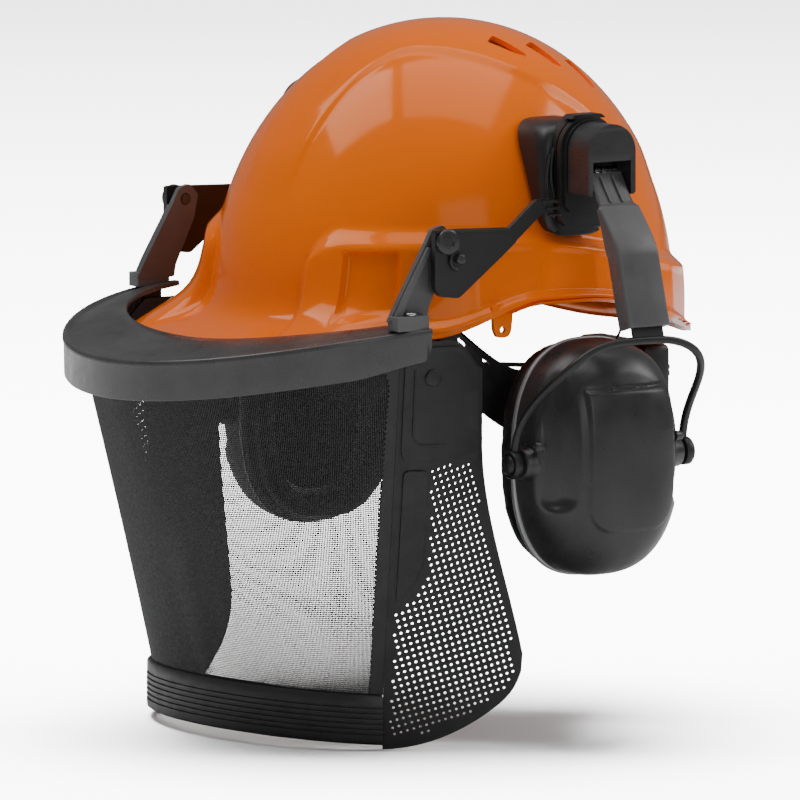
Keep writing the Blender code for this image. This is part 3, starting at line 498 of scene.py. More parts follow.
def block_shape(size, centre, turn=None):
    shape = bmesh.new()
    bmesh.ops.create_cube(shape, size=1.0)
    bmesh.ops.scale(shape, vec=Vector(size) * MM, verts=shape.verts[:])
    place = Matrix.Translation(Vector(centre) * MM) @ (turn or Matrix())
    bmesh.ops.transform(shape, matrix=place, verts=shape.verts[:])
    return shape


def flat_shape(outline, thick, holes=(), most=None):
    """A flat plate between Z = 0 and its thickness, with holes and its long edges divided."""
    curve = bpy.data.curves.new("outline", "CURVE")
    curve.dimensions = "2D"
    curve.fill_mode = "BOTH"
    curve.extrude = thick * MM / 2.0
    for ring in (outline, *holes):
        spline = curve.splines.new("POLY")
        spline.points.add(len(ring) - 1)
        for knot, place in zip(spline.points, ring):
            knot.co = (place[0] * MM, place[1] * MM, 0.0, 1.0)
        spline.use_cyclic_u = True
    holder = bpy.data.objects.new("outline", curve)
    bpy.context.scene.collection.objects.link(holder)
    bpy.context.view_layer.update()
    seen = holder.evaluated_get(bpy.context.evaluated_depsgraph_get())
    mesh = bpy.data.meshes.new_from_object(seen)
    bpy.data.objects.remove(holder, do_unlink=True)
    bpy.data.curves.remove(curve)
    shape = bmesh.new()
    shape.from_mesh(mesh)
    bpy.data.meshes.remove(mesh)
    bmesh.ops.remove_doubles(shape, verts=shape.verts[:], dist=0.00001)
    bmesh.ops.translate(shape, vec=(0.0, 0.0, thick * MM / 2.0), verts=shape.verts[:])
    if most:
        for _ in range(5):
            long = [edge for edge in shape.edges if edge.calc_length() > most * MM]
            if not long:
                break
            bmesh.ops.subdivide_edges(shape, edges=long, cuts=1, use_grid_fill=False)
            bmesh.ops.triangulate(shape, faces=[f for f in shape.faces if len(f.verts) > 4])
    return shape


def bent(shape, rule):
    """Moves each point of a flat shape by a rule from (a, b, height) in millimetres."""
    for vertex in shape.verts:
        a, b, height = vertex.co / MM
        vertex.co = Vector(rule(a, b, height)) * MM
    return shape


def gather(*shapes):
    """Several shapes as one mesh, left as separate islands."""
    whole = bmesh.new()
    for shape in shapes:
        mesh = bpy.data.meshes.new("part")
        shape.to_mesh(mesh)
        shape.free()
        whole.from_mesh(mesh)
        bpy.data.meshes.remove(mesh)
    return whole


def as_object(name, shape):
    bmesh.ops.recalc_face_normals(shape, faces=shape.faces[:])
    mesh = bpy.data.meshes.new(name)
    shape.to_mesh(mesh)
    shape.free()
    made = bpy.data.objects.new(name, mesh)
    bpy.context.scene.collection.objects.link(made)
    return made


def applied(made):
    """The object's mesh with its modifiers worked in, in place of the old one."""
    bpy.context.view_layer.update()
    seen = made.evaluated_get(bpy.context.evaluated_depsgraph_get())
    mesh = bpy.data.meshes.new_from_object(seen)
    made.modifiers.clear()
    made.data = mesh
    return made


def combined(base, tools, operation):
    """A Boolean of one solid shape with others, worked in at once."""
    target = as_object("solid", base)
    for shape in tools:
        tool = as_object("tool", shape)
        change = target.modifiers.new("change", "BOOLEAN")
        change.operation = operation
        change.solver = "EXACT"
        change.object = tool
        applied(target)
        bpy.data.objects.remove(tool, do_unlink=True)
    shape = bmesh.new()
    shape.from_mesh(target.data)
    bpy.data.objects.remove(target, do_unlink=True)
    return shape


def refined(node, look, body, bevel=0.35, crease=35.0):
    """A CAD piece's own shape with its edges rounded."""
    source = frame["nodes"][node]
    shape = bmesh.new()
    shape.from_mesh(source.data)
    bmesh.ops.transform(shape, matrix=source.matrix_world, verts=shape.verts[:])
    bmesh.ops.remove_doubles(shape, verts=shape.verts[:], dist=0.00002)
    bmesh.ops.dissolve_limit(
        shape,
        angle_limit=math.radians(2.0),
        verts=shape.verts[:],
        edges=shape.edges[:],
    )
    return finish_piece(node + "_look", shape, look, body, (node,), crease=crease, bevel=bevel)


def frame_along(direction, centre):
    turn = Vector(direction).to_track_quat("Z", "Y").to_matrix().to_4x4()
    return Matrix.Translation(Vector(centre) * MM) @ turn


def rounded_box(width, height, radius, corner=4):
    points = []
    for quarter in range(4):
        start = quarter * math.pi / 2.0
        sign_x = 1 if quarter in (0, 3) else -1
        sign_y = 1 if quarter in (0, 1) else -1
        for step in range(corner + 1):
            angle = start + step / corner * math.pi / 2.0
            x = sign_x * (width / 2.0 - radius) + radius * math.cos(angle)
            y = sign_y * (height / 2.0 - radius) + radius * math.sin(angle)
            points.append((x, y))
    return points


def rounded(points, radius, steps=4):
    """A closed outline with its corners rounded."""
    made = []
    count = len(points)
    for index in range(count):
        here = Vector(points[index])
        before = Vector(points[index - 1]) - here
        after = Vector(points[(index + 1) % count]) - here
        reach = min(radius, before.length * 0.45, after.length * 0.45)
        start = here + before.normalized() * reach
        end = here + after.normalized() * reach
        for step in range(steps + 1):
            t = step / steps
            spot = start * (1 - t) ** 2 + here * 2 * t * (1 - t) + end * t * t
            made.append((spot.x, spot.y))
    return made


def ring_points(y, z, radius, count=24):
    angles = [2.0 * math.pi * step / count for step in range(count)]
    return [(y + radius * math.cos(a), z + radius * math.sin(a)) for a in angles]


# ---------------------------------------------------------------- shell


def plan_radius(angle, half_width, half_length):
    return 1.0 / math.hypot(math.sin(angle) / half_width, math.cos(angle) / half_length)


def dome_share(z):
    return max(0.0, 1.0 - (max(z, 0.0) / SHELL_HEIGHT) ** DOME_POWER) ** (1.0 / DOME_POWER)


def skirt_top(turn):
    """Height of the raised skirt's top edge; its front end is a round shoulder."""
    top = mix(46.0, 21.0, smooth_step(60.0, 165.0, turn))
    if turn < 31.0:
        part = min(1.0, (31.0 - turn) / 10.5)
        top -= 20.0 * (1.0 - math.sqrt(1.0 - part * part))
    return top


def rim_height(turn):
    front = mix(-9.0, -4.0, smooth_step(0.0, 52.0, turn))
    side = mix(front, 12.0, smooth_step(54.0, 82.0, turn))
    return mix(side, -18.0, smooth_step(92.0, 165.0, turn))


CREST_EDGE = (
    (-100.0, 19.0),
    (-64.0, 20.0),
    (-39.0, 23.0),
    (-17.0, 43.0),
    (3.0, 57.0),
    (15.0, 62.0),
    (33.0, 67.0),
    (53.0, 71.0),
    (80.0, 74.0),
)


def crest_lift(x, y, z):
    """The raised middle of the crown: narrow over the brow, fanning out to the rear."""
    edge = table_line(y, CREST_EDGE)
    edge = (edge + table_line(y - 6.0, CREST_EDGE) + table_line(y + 6.0, CREST_EDGE)) / 3.0
    across = 1.0 - smooth_step(edge - 2.0, edge + 2.0, abs(x))
    return 1.5 * across * smooth_step(58.0, 80.0, z)


def skin_share(v):
    """Rows gather where the skirt steps out and where the rim turns."""
    knots = ((0.0, 0.0), (0.46, 0.58), (0.6, 0.72), (0.86, 0.925), (1.0, 1.0))
    return table_line(v, knots)


def facet(turn):
    """The skirt is made of flat panels; the share of the radius left at an angle."""
    if turn < 48.0:
        return 1.0
    panel = 17.0
    away = (turn - 48.0) % panel - panel / 2.0
    return math.cos(math.radians(panel / 2.0)) / math.cos(math.radians(away))


def shell_point(angle, v):
    turn = abs(math.degrees(angle))
    share = skin_share(v)
    base = plan_radius(angle, SHELL_HALF_WIDTH, SHELL_HALF_LENGTH)
    top = skirt_top(turn)
    peak = 1.0 - smooth_step(24.0, 64.0, turn)
    if share <= 0.6:
        lift = share / 0.6 * math.acos((top + 3.0) / SHELL_HEIGHT) / (math.pi / 2.0)
        z = SHELL_HEIGHT * math.cos(lift * math.pi / 2.0)
        radius = base * dome_share(z)
        raise_by = crest_lift(radius * math.sin(angle), -radius * math.cos(angle), z)
        radius = max(0.0, radius - SKIN_DROP * dome_share(z)) + raise_by * dome_share(z)
        return radius, z - SKIN_DROP * z / SHELL_HEIGHT + raise_by * z / SHELL_HEIGHT
    skirt = SKIRT_STEP * smooth_step(19.5, 22.5, turn)
    rim = rim_height(turn)
    low = (share - 0.6) / 0.4
    step = smooth_step(0.0, 0.2, low)
    z = mix(top + 3.0, rim, low)
    bend = max(0.0, (low - 0.25) / 0.75)
    out = (PEAK_REACH + RIM_LIP) * peak * bend ** 2.2
    lip = RIM_LIP * (1.0 - peak) * smooth_step(0.8, 0.9, low)
    lip_up = 2.2 * (1.0 - peak) * smooth_step(0.92, 1.0, low)
    fall = 1.0 - 0.25 * peak * math.sin(math.pi * bend)
    z = rim + (z - rim) * fall
    recess = smooth_step(31.5, 32.7, turn) * (1.0 - smooth_step(44.5, 46.0, turn))
    recess *= smooth_step(0.2, 0.26, low) * (1.0 - smooth_step(0.66, 0.8, low))
    wall = smooth_step(48.0, 50.0, turn) * smooth_step(0.2, 0.3, low)
    body = base * dome_share(z) * mix(1.0, facet(turn), wall * (1.0 - smooth_step(0.78, 0.9, low)))
    drop = SKIN_DROP * (1.0 - step)
    flat = SKIN_DROP * step * (1.0 - smooth_step(19.5, 22.5, turn)) * (1.0 - bend)
    return body + skirt * step + out + lip - RECESS_DEPTH * recess - drop - flat, z + lip_up


def make_shell():
    def rule(u, v):
        angle = math.remainder(2.0 * math.pi * u, 2.0 * math.pi)
        radius, z = shell_point(angle, v)
        return radius * math.sin(angle), -radius * math.cos(angle), z

    skin = grid_shape(rule, SHELL_COLUMNS, SHELL_ROWS, wrap_u=True)
    shell = as_object("shell_skin", skin)
    wall = shell.modifiers.new("wall", "SOLIDIFY")
    wall.thickness = SHELL_WALL * MM
    wall.offset = -1.0
    applied(shell)
    vents = as_object("vents", gather(*[vent(side, i) for side in (-1, 1) for i in range(3)]))
    cut = shell.modifiers.new("cut", "BOOLEAN")
    cut.operation = "DIFFERENCE"
    cut.solver = "EXACT"
    cut.object = vents
    applied(shell)
    bpy.data.objects.remove(vents, do_unlink=True)
    mesh = shell.data
    bpy.data.objects.remove(shell, do_unlink=True)
    mesh.shade_smooth()
    mesh.set_sharp_from_angle(angle=math.radians(42.0))
    finish_mesh("shell_skin", mesh, "orange", "shell", ("shell",))
    for side in (-1, 1):
        label = side_name(side)
        for index in range(3):
            ramp = vent_ramp(side, index)
            finish_piece(f"vent_ramp_{index + 1}_{label}", ramp, "orange", "shell", bevel=0.3)
        make_lug(side, label)


def vent_frame(side, index):
    """The frame of one vent: X across it, Y along it from the front and Z out of the shell."""
    y = VENT_START_Y + VENT_PITCH * index
    x = VENT_X
    radius = math.hypot(x / SHELL_HALF_WIDTH, y / SHELL_HALF_LENGTH)
    z = SHELL_HEIGHT * (1.0 - radius**DOME_POWER) ** (1.0 / DOME_POWER)
    out = Vector((side * x / SHELL_HALF_WIDTH**2, y / SHELL_HALF_LENGTH**2, z / SHELL_HEIGHT**2))
    out.normalize()
    along = Vector((side * math.sin(VENT_TURN), math.cos(VENT_TURN), 0.0))
    along = (along - out * along.dot(out)).normalized()
    across = along.cross(out)
    turn = Matrix((across, along, out)).transposed().to_4x4()
    return Matrix.Translation(Vector((side * x, y, z)) * MM) @ turn


VENT_OUTLINE = ((-4.6, -9.5), (4.4, -9.5), (3.4, 10.0), (-1.4, 10.0))


def vent(side, index):
    shape = flat_shape(rounded(VENT_OUTLINE, 1.4, 3), VENT_DEPTH)
    bmesh.ops.translate(shape, vec=(0.0, 0.0, -VENT_DEPTH / 2.0 * MM), verts=shape.verts[:])
    bmesh.ops.transform(shape, matrix=vent_frame(side, index), verts=shape.verts[:])
    return shape


def vent_ramp(side, index):
    """The sloping floor behind a vent, open at its front end so that air passes."""

    def rule(a, b, height):
        slope = mix(-7.0, -1.9, (b + 10.0) / 21.0)
        return a, b, slope + height

    outline = [(-5.6, -6.5), (5.4, -6.5), (4.6, 11.6), (-2.6, 11.6)]
    shape = bent(flat_shape(outline, 1.4, most=4.0), rule)
    bmesh.ops.transform(shape, matrix=vent_frame(side, index), verts=shape.verts[:])
    return shape


def make_lug(side, label):
    outline = [(LUG_Y - 6.0, 13.0), (LUG_Y - 5.0, 0.5), (LUG_Y - 3.4, -2.6), (LUG_Y, -3.1)]
    outline += [(LUG_Y + 3.4, -2.6), (LUG_Y + 5.0, 0.5), (LUG_Y + 6.0, 13.0)]
    hole = ring_points(LUG_Y, LUG_HOLE_Z, LUG_HOLE)
    shape = flat_shape(rounded(outline, 2.0), LUG_THICK, (hole,))
    bent(shape, lambda a, b, height: (side * (LUG_X + height), a, b))
    finish_piece("strap_lug_" + label, shape, "orange", "shell", bevel=0.35)


# ---------------------------------------------------------------- suspension


def band_plan(angle, inset=0.0):
    half_length = (BAND_REAR_Y - BAND_FRONT_Y) / 2.0
    middle = (BAND_REAR_Y + BAND_FRONT_Y) / 2.0
    radius = plan_radius(angle, BAND_HALF_WIDTH - inset, half_length - inset)
    return radius * math.sin(angle), middle - radius * math.cos(angle)


def band_height(angle):
    return mix(2.0, NAPE_Z, smooth_step(38.0, 86.0, abs(math.degrees(angle))))


def band_place(angle, inset=0.0):
    x, y = band_plan(angle, inset)
    ahead = Vector(band_plan(angle + 0.01, inset)) - Vector(band_plan(angle - 0.01, inset))
    out = Vector((ahead.y, -ahead.x, 0.0)).normalized()
    if out.dot(Vector((x, y, 0.0))) < 0:
        out = -out
    return (x, y, band_height(angle)), out, Vector((0.0, 0.0, 1.0))


def make_headband():
    """A thin strap with rows of small slots."""
    scale = 100.0

    def rule(a, b, height):
        centre, out, up = band_place(a / scale)
        return Vector(centre) + out * (height - BAND_THICK / 2.0) + up * b

    limit = BAND_TURN * scale
    outline = []
    steps = 90
    for step in range(steps + 1):
        outline.append((mix(-limit, limit, step / steps), -15.0))
    for step in range(steps + 1):
        outline.append((mix(limit, -limit, step / steps), 15.0))
    holes = []
    for side in (-1, 1):
        for index in range(9):
            middle = side * (64.0 + index * 7.4)
            low = -11.0 if index % 2 else 10.0
            box = rounded_box(4.6, 1.9, 0.8, corner=2)
            holes.append([(middle + a, low + b) for a, b in box])
        for index in range(4):
            middle = side * (84.0 + index * 11.0)
            box = rounded_box(2.2, 6.0, 0.9, corner=2)
            holes.append([(middle + a, b) for a, b in box])
    shape = bent(flat_shape(outline, BAND_THICK, holes, most=7.0), rule)
    finish_piece("headband_strap", shape, "black", "shell", ("headband",), bevel=0.25)


def make_tail(side):
    """A toothed strap that runs from the band's end into the ratchet housing."""
    scale = TAIL_RADIUS
    start = TAIL_START * scale
    end = TAIL_END * scale
    shift = NAPE_Z + TAIL_OFFSET * side

    def rule(a, b, height):
        angle = side * a / scale
        out = Vector((math.sin(angle), -math.cos(angle), 0.0))
        return Vector((0.0, TAIL_CENTRE_Y, shift + b)) + out * (TAIL_RADIUS + height - BAND_THICK / 2)

    outline = []
    steps = 40
    for step in range(steps + 1):
        outline.append((mix(start, end, step / steps), -3.8))
    for step in range(steps + 1):
        outline.append((mix(end, start, step / steps), 3.8))
    low = start + 34.0
    high = end - 4.0
    teeth = [(low, -1.3)]
    wide = (high - low) / TAIL_TEETH
    for index in range(TAIL_TEETH):
        at = mix(low, high, index / TAIL_TEETH)
        teeth += [(at + wide * 0.1, -1.3), (at + wide * 0.35, -0.2), (at + wide * 0.65, -0.2)]
        teeth.append((at + wide * 0.9, -1.3))
    teeth += [(high, -1.3), (high, 1.7), (low, 1.7)]
    shape = bent(flat_shape(outline, BAND_THICK, (teeth,), most=6.0), rule)
    label = side_name(side)
    finish_piece("tail_strap_" + label, shape, "black", "tail_" + label, ("band_tail_" + label,))


def make_ratchet():
    base = HOUSING_FRONT + HOUSING_DEPTH
    frame_knob = frame_along((0, 1, 0), (0.0, base, NAPE_Z))
    steps = KNOB_RIBS * 8

    def rule(u, v):
        profile = [(0.0, 0.0), (13.4, 0.0), (14.0, 0.6), (14.0, 8.4), (13.4, 9.8), (12.0, 10.7)]
        profile += [(10.0, 11.0), (9.4, 10.3), (3.0, 10.3), (0.0, 10.3)]
        radius, height = profile[round(v * (len(profile) - 1))]
        angle = 2.0 * math.pi * u
        if radius > 11.5:
            radius -= 0.9 * (0.5 + 0.5 * math.cos(KNOB_RIBS * angle)) ** 2
        turned = Vector((radius * math.cos(angle), radius * math.sin(angle), height))
        return frame_knob @ (turned * MM) / MM

    knob = grid_shape(rule, steps, 9, wrap_u=True)
    finish_piece("knob_grip", knob, "dark", "knob", ("ratchet_knob",), crease=50.0)
    refined("ratchet_housing", "black", "shell", bevel=0.4)
    for side in (-1, 1):
        rib = block_shape((2.4, 1.0, 22.0), (side * 21.0, base - 0.7, NAPE_Z))
        finish_piece("housing_rib_" + side_name(side), rib, "black", "shell", bevel=0.3)


def pad_shape(place, size, steps):
    """A plain pad carried along a curve, a little smaller than the finished one."""
    section = rounded_box(size[0], size[1], min(size) * 0.4, corner=4)
    return sweep_shape(place, lambda t: section, steps)


def puffed(name, shape, voxel, pressure, pinned, cap_mm):
    """Cloth simulation swells a pad under pressure; no point moves further than the cap."""
    pad = as_object(name, shape)
    again = pad.modifiers.new("voxels", "REMESH")
    again.mode = "VOXEL"
    again.voxel_size = voxel * MM
    applied(pad)
    start = [vertex.co.copy() for vertex in pad.data.vertices]
    group = pad.vertex_groups.new(name="held")
    for index, spot in enumerate(start):
        weight = pinned(spot / MM)
        if weight > 0.0:
            group.add([index], weight, "REPLACE")
    cloth = pad.modifiers.new("cloth", "CLOTH")
    settings = cloth.settings
    settings.quality = 5
    settings.mass = 0.2
    settings.use_pressure = True
    settings.uniform_pressure_force = pressure
    settings.tension_stiffness = 12.0
    settings.compression_stiffness = 12.0
    settings.bending_stiffness = 0.4
    settings.effector_weights.gravity = 0.0
    settings.vertex_group_mass = "held"
    cloth.collision_settings.use_collision = False
    scene = bpy.context.scene
    for number in range(1, 21):
        scene.frame_set(number)
    seen = pad.evaluated_get(bpy.context.evaluated_depsgraph_get())
    moved = [vertex.co.copy() for vertex in seen.data.vertices]
    pad.modifiers.clear()
    for vertex, old, new in zip(pad.data.vertices, start, moved):
        step = new - old
        if step.length > cap_mm * MM:
            step *= cap_mm * MM / step.length
        vertex.co = old + step
    scene.frame_set(1)
    return pad


def wrinkle(pad, depth, scale):
    """Fine creases along the skin of a pad."""
    mesh = pad.data
    normals = [vertex.normal.copy() for vertex in mesh.vertices]
    for vertex, out in zip(mesh.vertices, normals):
        spot = vertex.co / MM * scale
        vertex.co += out * (noise.noise(spot) - 0.3) * depth * MM


def finished_pad(pad, name, look, body, replaces, levels=1):
    soft = pad.modifiers.new("soft", "SUBSURF")
    soft.levels = levels
    soft.render_levels = levels
    applied(pad)
    wrinkle(pad, 0.35, 0.12)
    mesh = pad.data
    bpy.data.objects.remove(pad, do_unlink=True)
    mesh.shade_smooth()
    made = finish_mesh(name, mesh, look, body, replaces)
    return made


def make_pads():
    brow = SWEATBAND_TURN
    inset = BAND_THICK / 2 + 0.3 + 2.7
    sweat = pad_shape(lambda t: band_place(mix(-brow, brow, t), inset=inset), (3.6, 31.0), 70)
    pad = puffed("sweat", sweat, 1.6, 1.5, lambda p: 0.0, 0.6)
    finished_pad(pad, "sweatband_pad", "towel", "shell", ("sweatband",))

    def nape(t):
        angle = mix(math.pi - NAPE_PAD_TURN, math.pi + NAPE_PAD_TURN, t)
        out = Vector((math.sin(angle), -math.cos(angle), 0.0))
        centre = Vector((0.0, TAIL_CENTRE_Y, NAPE_Z)) + out * (HOUSING_FRONT - 3.4 - TAIL_CENTRE_Y)
        return centre, out, Vector((0.0, 0.0, 1.0))

    pad = puffed("nape", pad_shape(nape, (3.6, 24.0), 30), 1.6, 1.5, lambda p: 0.0, 0.6)
    finished_pad(pad, "nape_cushion", "towel", "shell", ("nape_pad",))


def make_straps():
    """The crown straps, clips and hangers keep their solids' shape, with rounded edges."""
    for order in (1, 2, 3):
        refined(f"crown_strap_{order}", "web", "shell", bevel=0.2)
        for end in "ab":
            refined(f"strap_clip_{order}{end}", "black", "shell", bevel=0.5)
            if order != 2:
                refined(f"band_hanger_{order}{end}", "black", "shell", bevel=0.3)


# ---------------------------------------------------------------- ear muffs


def oval(angle, half_width, half_height, power=CUP_POWER):
    """A rounded box as a point (Y, Z) about its middle."""
    y = half_width * signed_power(math.cos(angle), 2.0 / power)
    z = half_height * signed_power(math.sin(angle), 2.0 / power)
    return y, z


def d_outline(radius, low, flare=0.0, steps=40):
    """A half circle round the hub's axis, carried straight down: Y, then Z."""
    points = []
    for step in range(steps + 1):
        angle = math.pi * step / steps
        points.append((HUB_Y + radius * math.cos(angle), HUB_Z + radius * math.sin(angle)))
    points += [(HUB_Y - radius - flare, low + 3.0), (HUB_Y - radius - flare + 3.0, low)]
    points += [(HUB_Y + radius - 3.0, low), (HUB_Y + radius, low + 3.0)]
    return points


def make_base(side, label):
    """The mount block: a plinth against the shell, with two D-shaped steps under the hub."""

    def shell_gap(y, z):
        inner = SHELL_HALF_WIDTH * dome_share(z) * math.sqrt(1.0 - (y / SHELL_HALF_LENGTH) ** 2)
        return inner + (SKIRT_STEP + 2.0 if z < 45.0 else 1.6)

    ring = [(0.0, 0.0), (1.0, 0.0), (1.0, 0.3), (1.0, 0.55), (0.99, 0.7), (0.96, 0.85)]
    ring += [(0.91, 0.95), (0.84, 1.0), (0.0, 1.0)]

    def rule(u, v):
        size, depth = ring[round(v * (len(ring) - 1))]
        dy, dz = oval(2.0 * math.pi * u, 19.0, 27.0, power=4.0)
        y = BASE_Y + dy * size
        z = BASE_Z + dz * size
        outer = HUB_X - 8.0 - 2.5 * smooth_step(60.0, 97.0, z)
        return side * mix(shell_gap(y, z), outer, depth), y, z

    block = grid_shape(rule, 96, len(ring) - 1, wrap_u=True)
    finish_piece("base_block_" + label, block, "black", "shell", ("muff_base_" + label,), crease=50.0)
    stages = ((16.0, 47.0, -13.0, -6.6, 0.5), (15.2, 50.0, -6.6, -5.6, 0.2))
    stages += ((16.0, 48.5, -5.6, -2.4, 0.6), (14.4, 55.0, -2.4, -0.4, 0.3))
    for order, (radius, low, start, stop, bevel) in enumerate(stages):
        step = flat_shape(d_outline(radius, low), stop - start)
        bent(step, lambda a, b, height, x=start: (side * (HUB_X + x + height), a, b))
        finish_piece(f"base_step_{order + 1}_{label}", step, "black", "shell", bevel=bevel)
    for order in range(2):
        line = []
        for step in range(25):
            t = step / 24.0
            angle = math.radians(mix(150.0, 215.0, t))
            radius = 18.4 + 2.2 * order
            y = HUB_Y + radius * math.cos(angle) + 2.0 * t
            z = HUB_Z - 8.0 - 4.0 * order + radius * math.sin(angle) - 9.0 * t
            line.append((side * (HUB_X - 8.2), y, z))
        rib = tube_shape(line, 1.0, 8)
        finish_piece(f"base_rib_{order + 1}_{label}", rib, "black", "shell", crease=80.0)
    clip = flat_shape(rounded([(-2.0, 0.0), (18.0, 0.0), (15.5, 2.0), (0.5, 2.0)], 0.8), 8.0)
    bent(clip, lambda a, b, h: (side * (HUB_X - 10.5 + h), a, 98.6 + b))
    finish_piece("base_clip_" + label, clip, "black", "shell", bevel=0.4)


def make_hub(side, label):
    """The D-shaped swivel cap with a slot below for the arm."""
    depth = HUB_DEPTH
    outline = []
    steps = 40
    for step in range(steps + 1):
        angle = mix(0.0, math.pi, step / steps)
        outline.append((HUB_Y + HUB_RADIUS * math.cos(angle), HUB_Z + HUB_RADIUS * math.sin(angle)))
    outline += [(HUB_Y - HUB_RADIUS, HUB_Z - 19.0), (HUB_Y - HUB_RADIUS + 1.2, HUB_Z - 20.0)]
    outline += [(HUB_Y + HUB_RADIUS - 1.2, HUB_Z - 20.0), (HUB_Y + HUB_RADIUS, HUB_Z - 19.0)]
    body = flat_shape(outline, depth)
    bent(body, lambda a, b, height: (side * (HUB_X + height), a, b))
    place = (side * (ARM_PIVOT_X + 1.0), HUB_Y, ARM_PIVOT_Z - 4.0)
    slot = block_shape((18.0, 21.5, 20.0), place)
    shape = combined(body, [slot], "DIFFERENCE")
    hub = finish_piece(
        "hub_cap_" + label, shape, "dark", "hub_" + label, ("muff_hub_" + label,), bevel=1.3
    )
    hub.modifiers["edge"].segments = 4
    hub.modifiers["edge"].angle_limit = math.radians(50.0)
    pin = drum_shape(
        [(0, 0), (1.6, 0), (1.6, 24.0), (0, 24.0)],
        frame_along((0, 1, 0), (side * (HUB_X + 4.2), HUB_Y - 12.0, ARM_PIVOT_Z + 0.5)),
        steps=20,
    )
    finish_piece("hub_axle_" + label, pin, "steel", "hub_" + label, bevel=0.2)


def arm_line(t):
    top = Vector((ARM_PIVOT_X + 1.2, ARM_PIVOT_Z))
    low = Vector(ARM_END)
    knee = low - Vector(ARM_DOWN) * ARM_STRAIGHT
    if t >= ARM_KNEE_SHARE:
        return knee.lerp(low, (t - ARM_KNEE_SHARE) / (1.0 - ARM_KNEE_SHARE))
    part = t / ARM_KNEE_SHARE
    keep = 1.0 - part
    bend = Vector((ARM_TOP_X + 1.0, 61.0))
    belly = knee - Vector(ARM_DOWN) * 9.0
    return top * keep**3 + bend * 3 * keep**2 * part + belly * 3 * keep * part**2 + knee * part**3


def arm_place(side, t):
    here = arm_line(t)
    ahead = arm_line(min(1.0, t + 0.01)) - arm_line(max(0.0, t - 0.01))
    along = Vector((side * ahead.x, 0.0, ahead.y)).normalized()
    out = Vector((-side * along.z, 0.0, side * along.x))
    out = out if out.x * side > 0 else -out
    return Vector((side * here.x, HUB_Y, here.y)), out, Vector((0, 1, 0))


def make_arm(side, label):
    def section(t):
        width = mix(ARM_NECK_WIDTH, ARM_WIDTH, smooth_step(0.2, 0.235, t))
        flange = mix(1.6, ARM_FLANGE, smooth_step(0.18, 0.5, t))
        web = mix(1.59, 0.9, smooth_step(0.2, 0.4, t))
        inner = width / 2 - ARM_WALL
        crown = mix(0.6, 1.5, smooth_step(0.2, 0.235, t))
        half = [
            (0.3, width / 2),
            (-0.2, width / 2),
            (-flange + 0.4, width / 2),
            (-flange, width / 2 - 0.4),
            (-flange, inner),
            (-web, inner),
        ]
        top = [(crown, width / 2 - 1.6), (crown - 0.12, width / 2 - 0.9), (crown - 0.5, width / 2 - 0.3)]
        points = [(a, -b) for a, b in reversed(half)]
        points += [(a, -b) for a, b in reversed(top)]
        points += [(crown, 0.0)] + top + half
        return points

    arm = sweep_shape(lambda t: arm_place(side, t), section, 90)
    body = "arm_" + label
    finish_piece("arm_channel_" + label, arm, "grey", body, ("muff_arm_" + label,), crease=45.0)
    for offset in (-3.4, 3.4):
        def place(t, shift=offset):
            centre, out, across = arm_place(side, mix(0.03, 0.2, t))
            return centre + across * shift + out * 1.0, out, across

        rib = sweep_shape(place, lambda t: rounded_box(1.0, 1.2, 0.4, corner=2), 16)
        word = "front" if offset < 0 else "rear"
        finish_piece(f"arm_rib_{word}_{label}", rib, "grey", body, crease=60.0)
    coil = []
    steps = SPRING_TURNS * 24
    for step in range(steps + 1):
        angle = 2.0 * math.pi * step / 24.0
        y = HUB_Y - 6.0 + 12.0 * step / steps
        x = side * (HUB_X + 4.2 + SPRING_RADIUS * math.cos(angle))
        coil.append((x, y, ARM_PIVOT_Z + 0.5 + SPRING_RADIUS * math.sin(angle)))
    tube = tube_shape(coil, SPRING_WIRE, 8)
    spring = ("arm_spring_" + label,)
    finish_piece("spring_coil_" + label, tube, "steel", "hub_" + label, spring, crease=80)



def tube_shape(points, radius, sides, closed=False):
    """A round tube along points, its section kept from twisting."""
    spots = [Vector(p) for p in points]
    count = len(spots)
    shape = bmesh.new()
    rings = []
    side = None
    for index, spot in enumerate(spots):
        before = spots[index - 1] if index or closed else spot
        after = spots[(index + 1) % count] if index < count - 1 or closed else spot
        along = (after - before).normalized()
        if side is None:
            side = along.orthogonal().normalized()
        side = (side - along * side.dot(along)).normalized()
        other = along.cross(side)
        ring = []
        for step in range(sides):
            angle = 2.0 * math.pi * step / sides
            place = spot + (side * math.cos(angle) + other * math.sin(angle)) * radius
            ring.append(shape.verts.new(place * MM))
        rings.append(ring)
    pairs = zip(rings, rings[1:] + (rings[:1] if closed else []))
    for first, second in pairs:
        for step in range(sides):
            following = (step + 1) % sides
            shape.faces.new((first[step], first[following], second[following], second[step]))
    if not closed:
        shape.faces.new(rings[0])
        shape.faces.new(rings[-1])
    return shape


def yoke_top():
    down = Vector(ARM_DOWN)
    inward = Vector((down.y, -down.x))
    return Vector(ARM_END) + down * 6.0 + inward * TONGUE_DROP


def yoke_point(side, t):
    angle = math.pi * (1.0 - t)
    rise = math.sin(angle)
    top = yoke_top()
    y = CUP_Y + YOKE_HALF_SPAN * signed_power(math.cos(angle), 0.62)
    z = mix(CUP_Z, top.y, rise**0.75)
    x = mix(YOKE_PIVOT_X, top.x, smooth_step(0.0, 0.95, rise))
    return Vector((side * x, y, z))


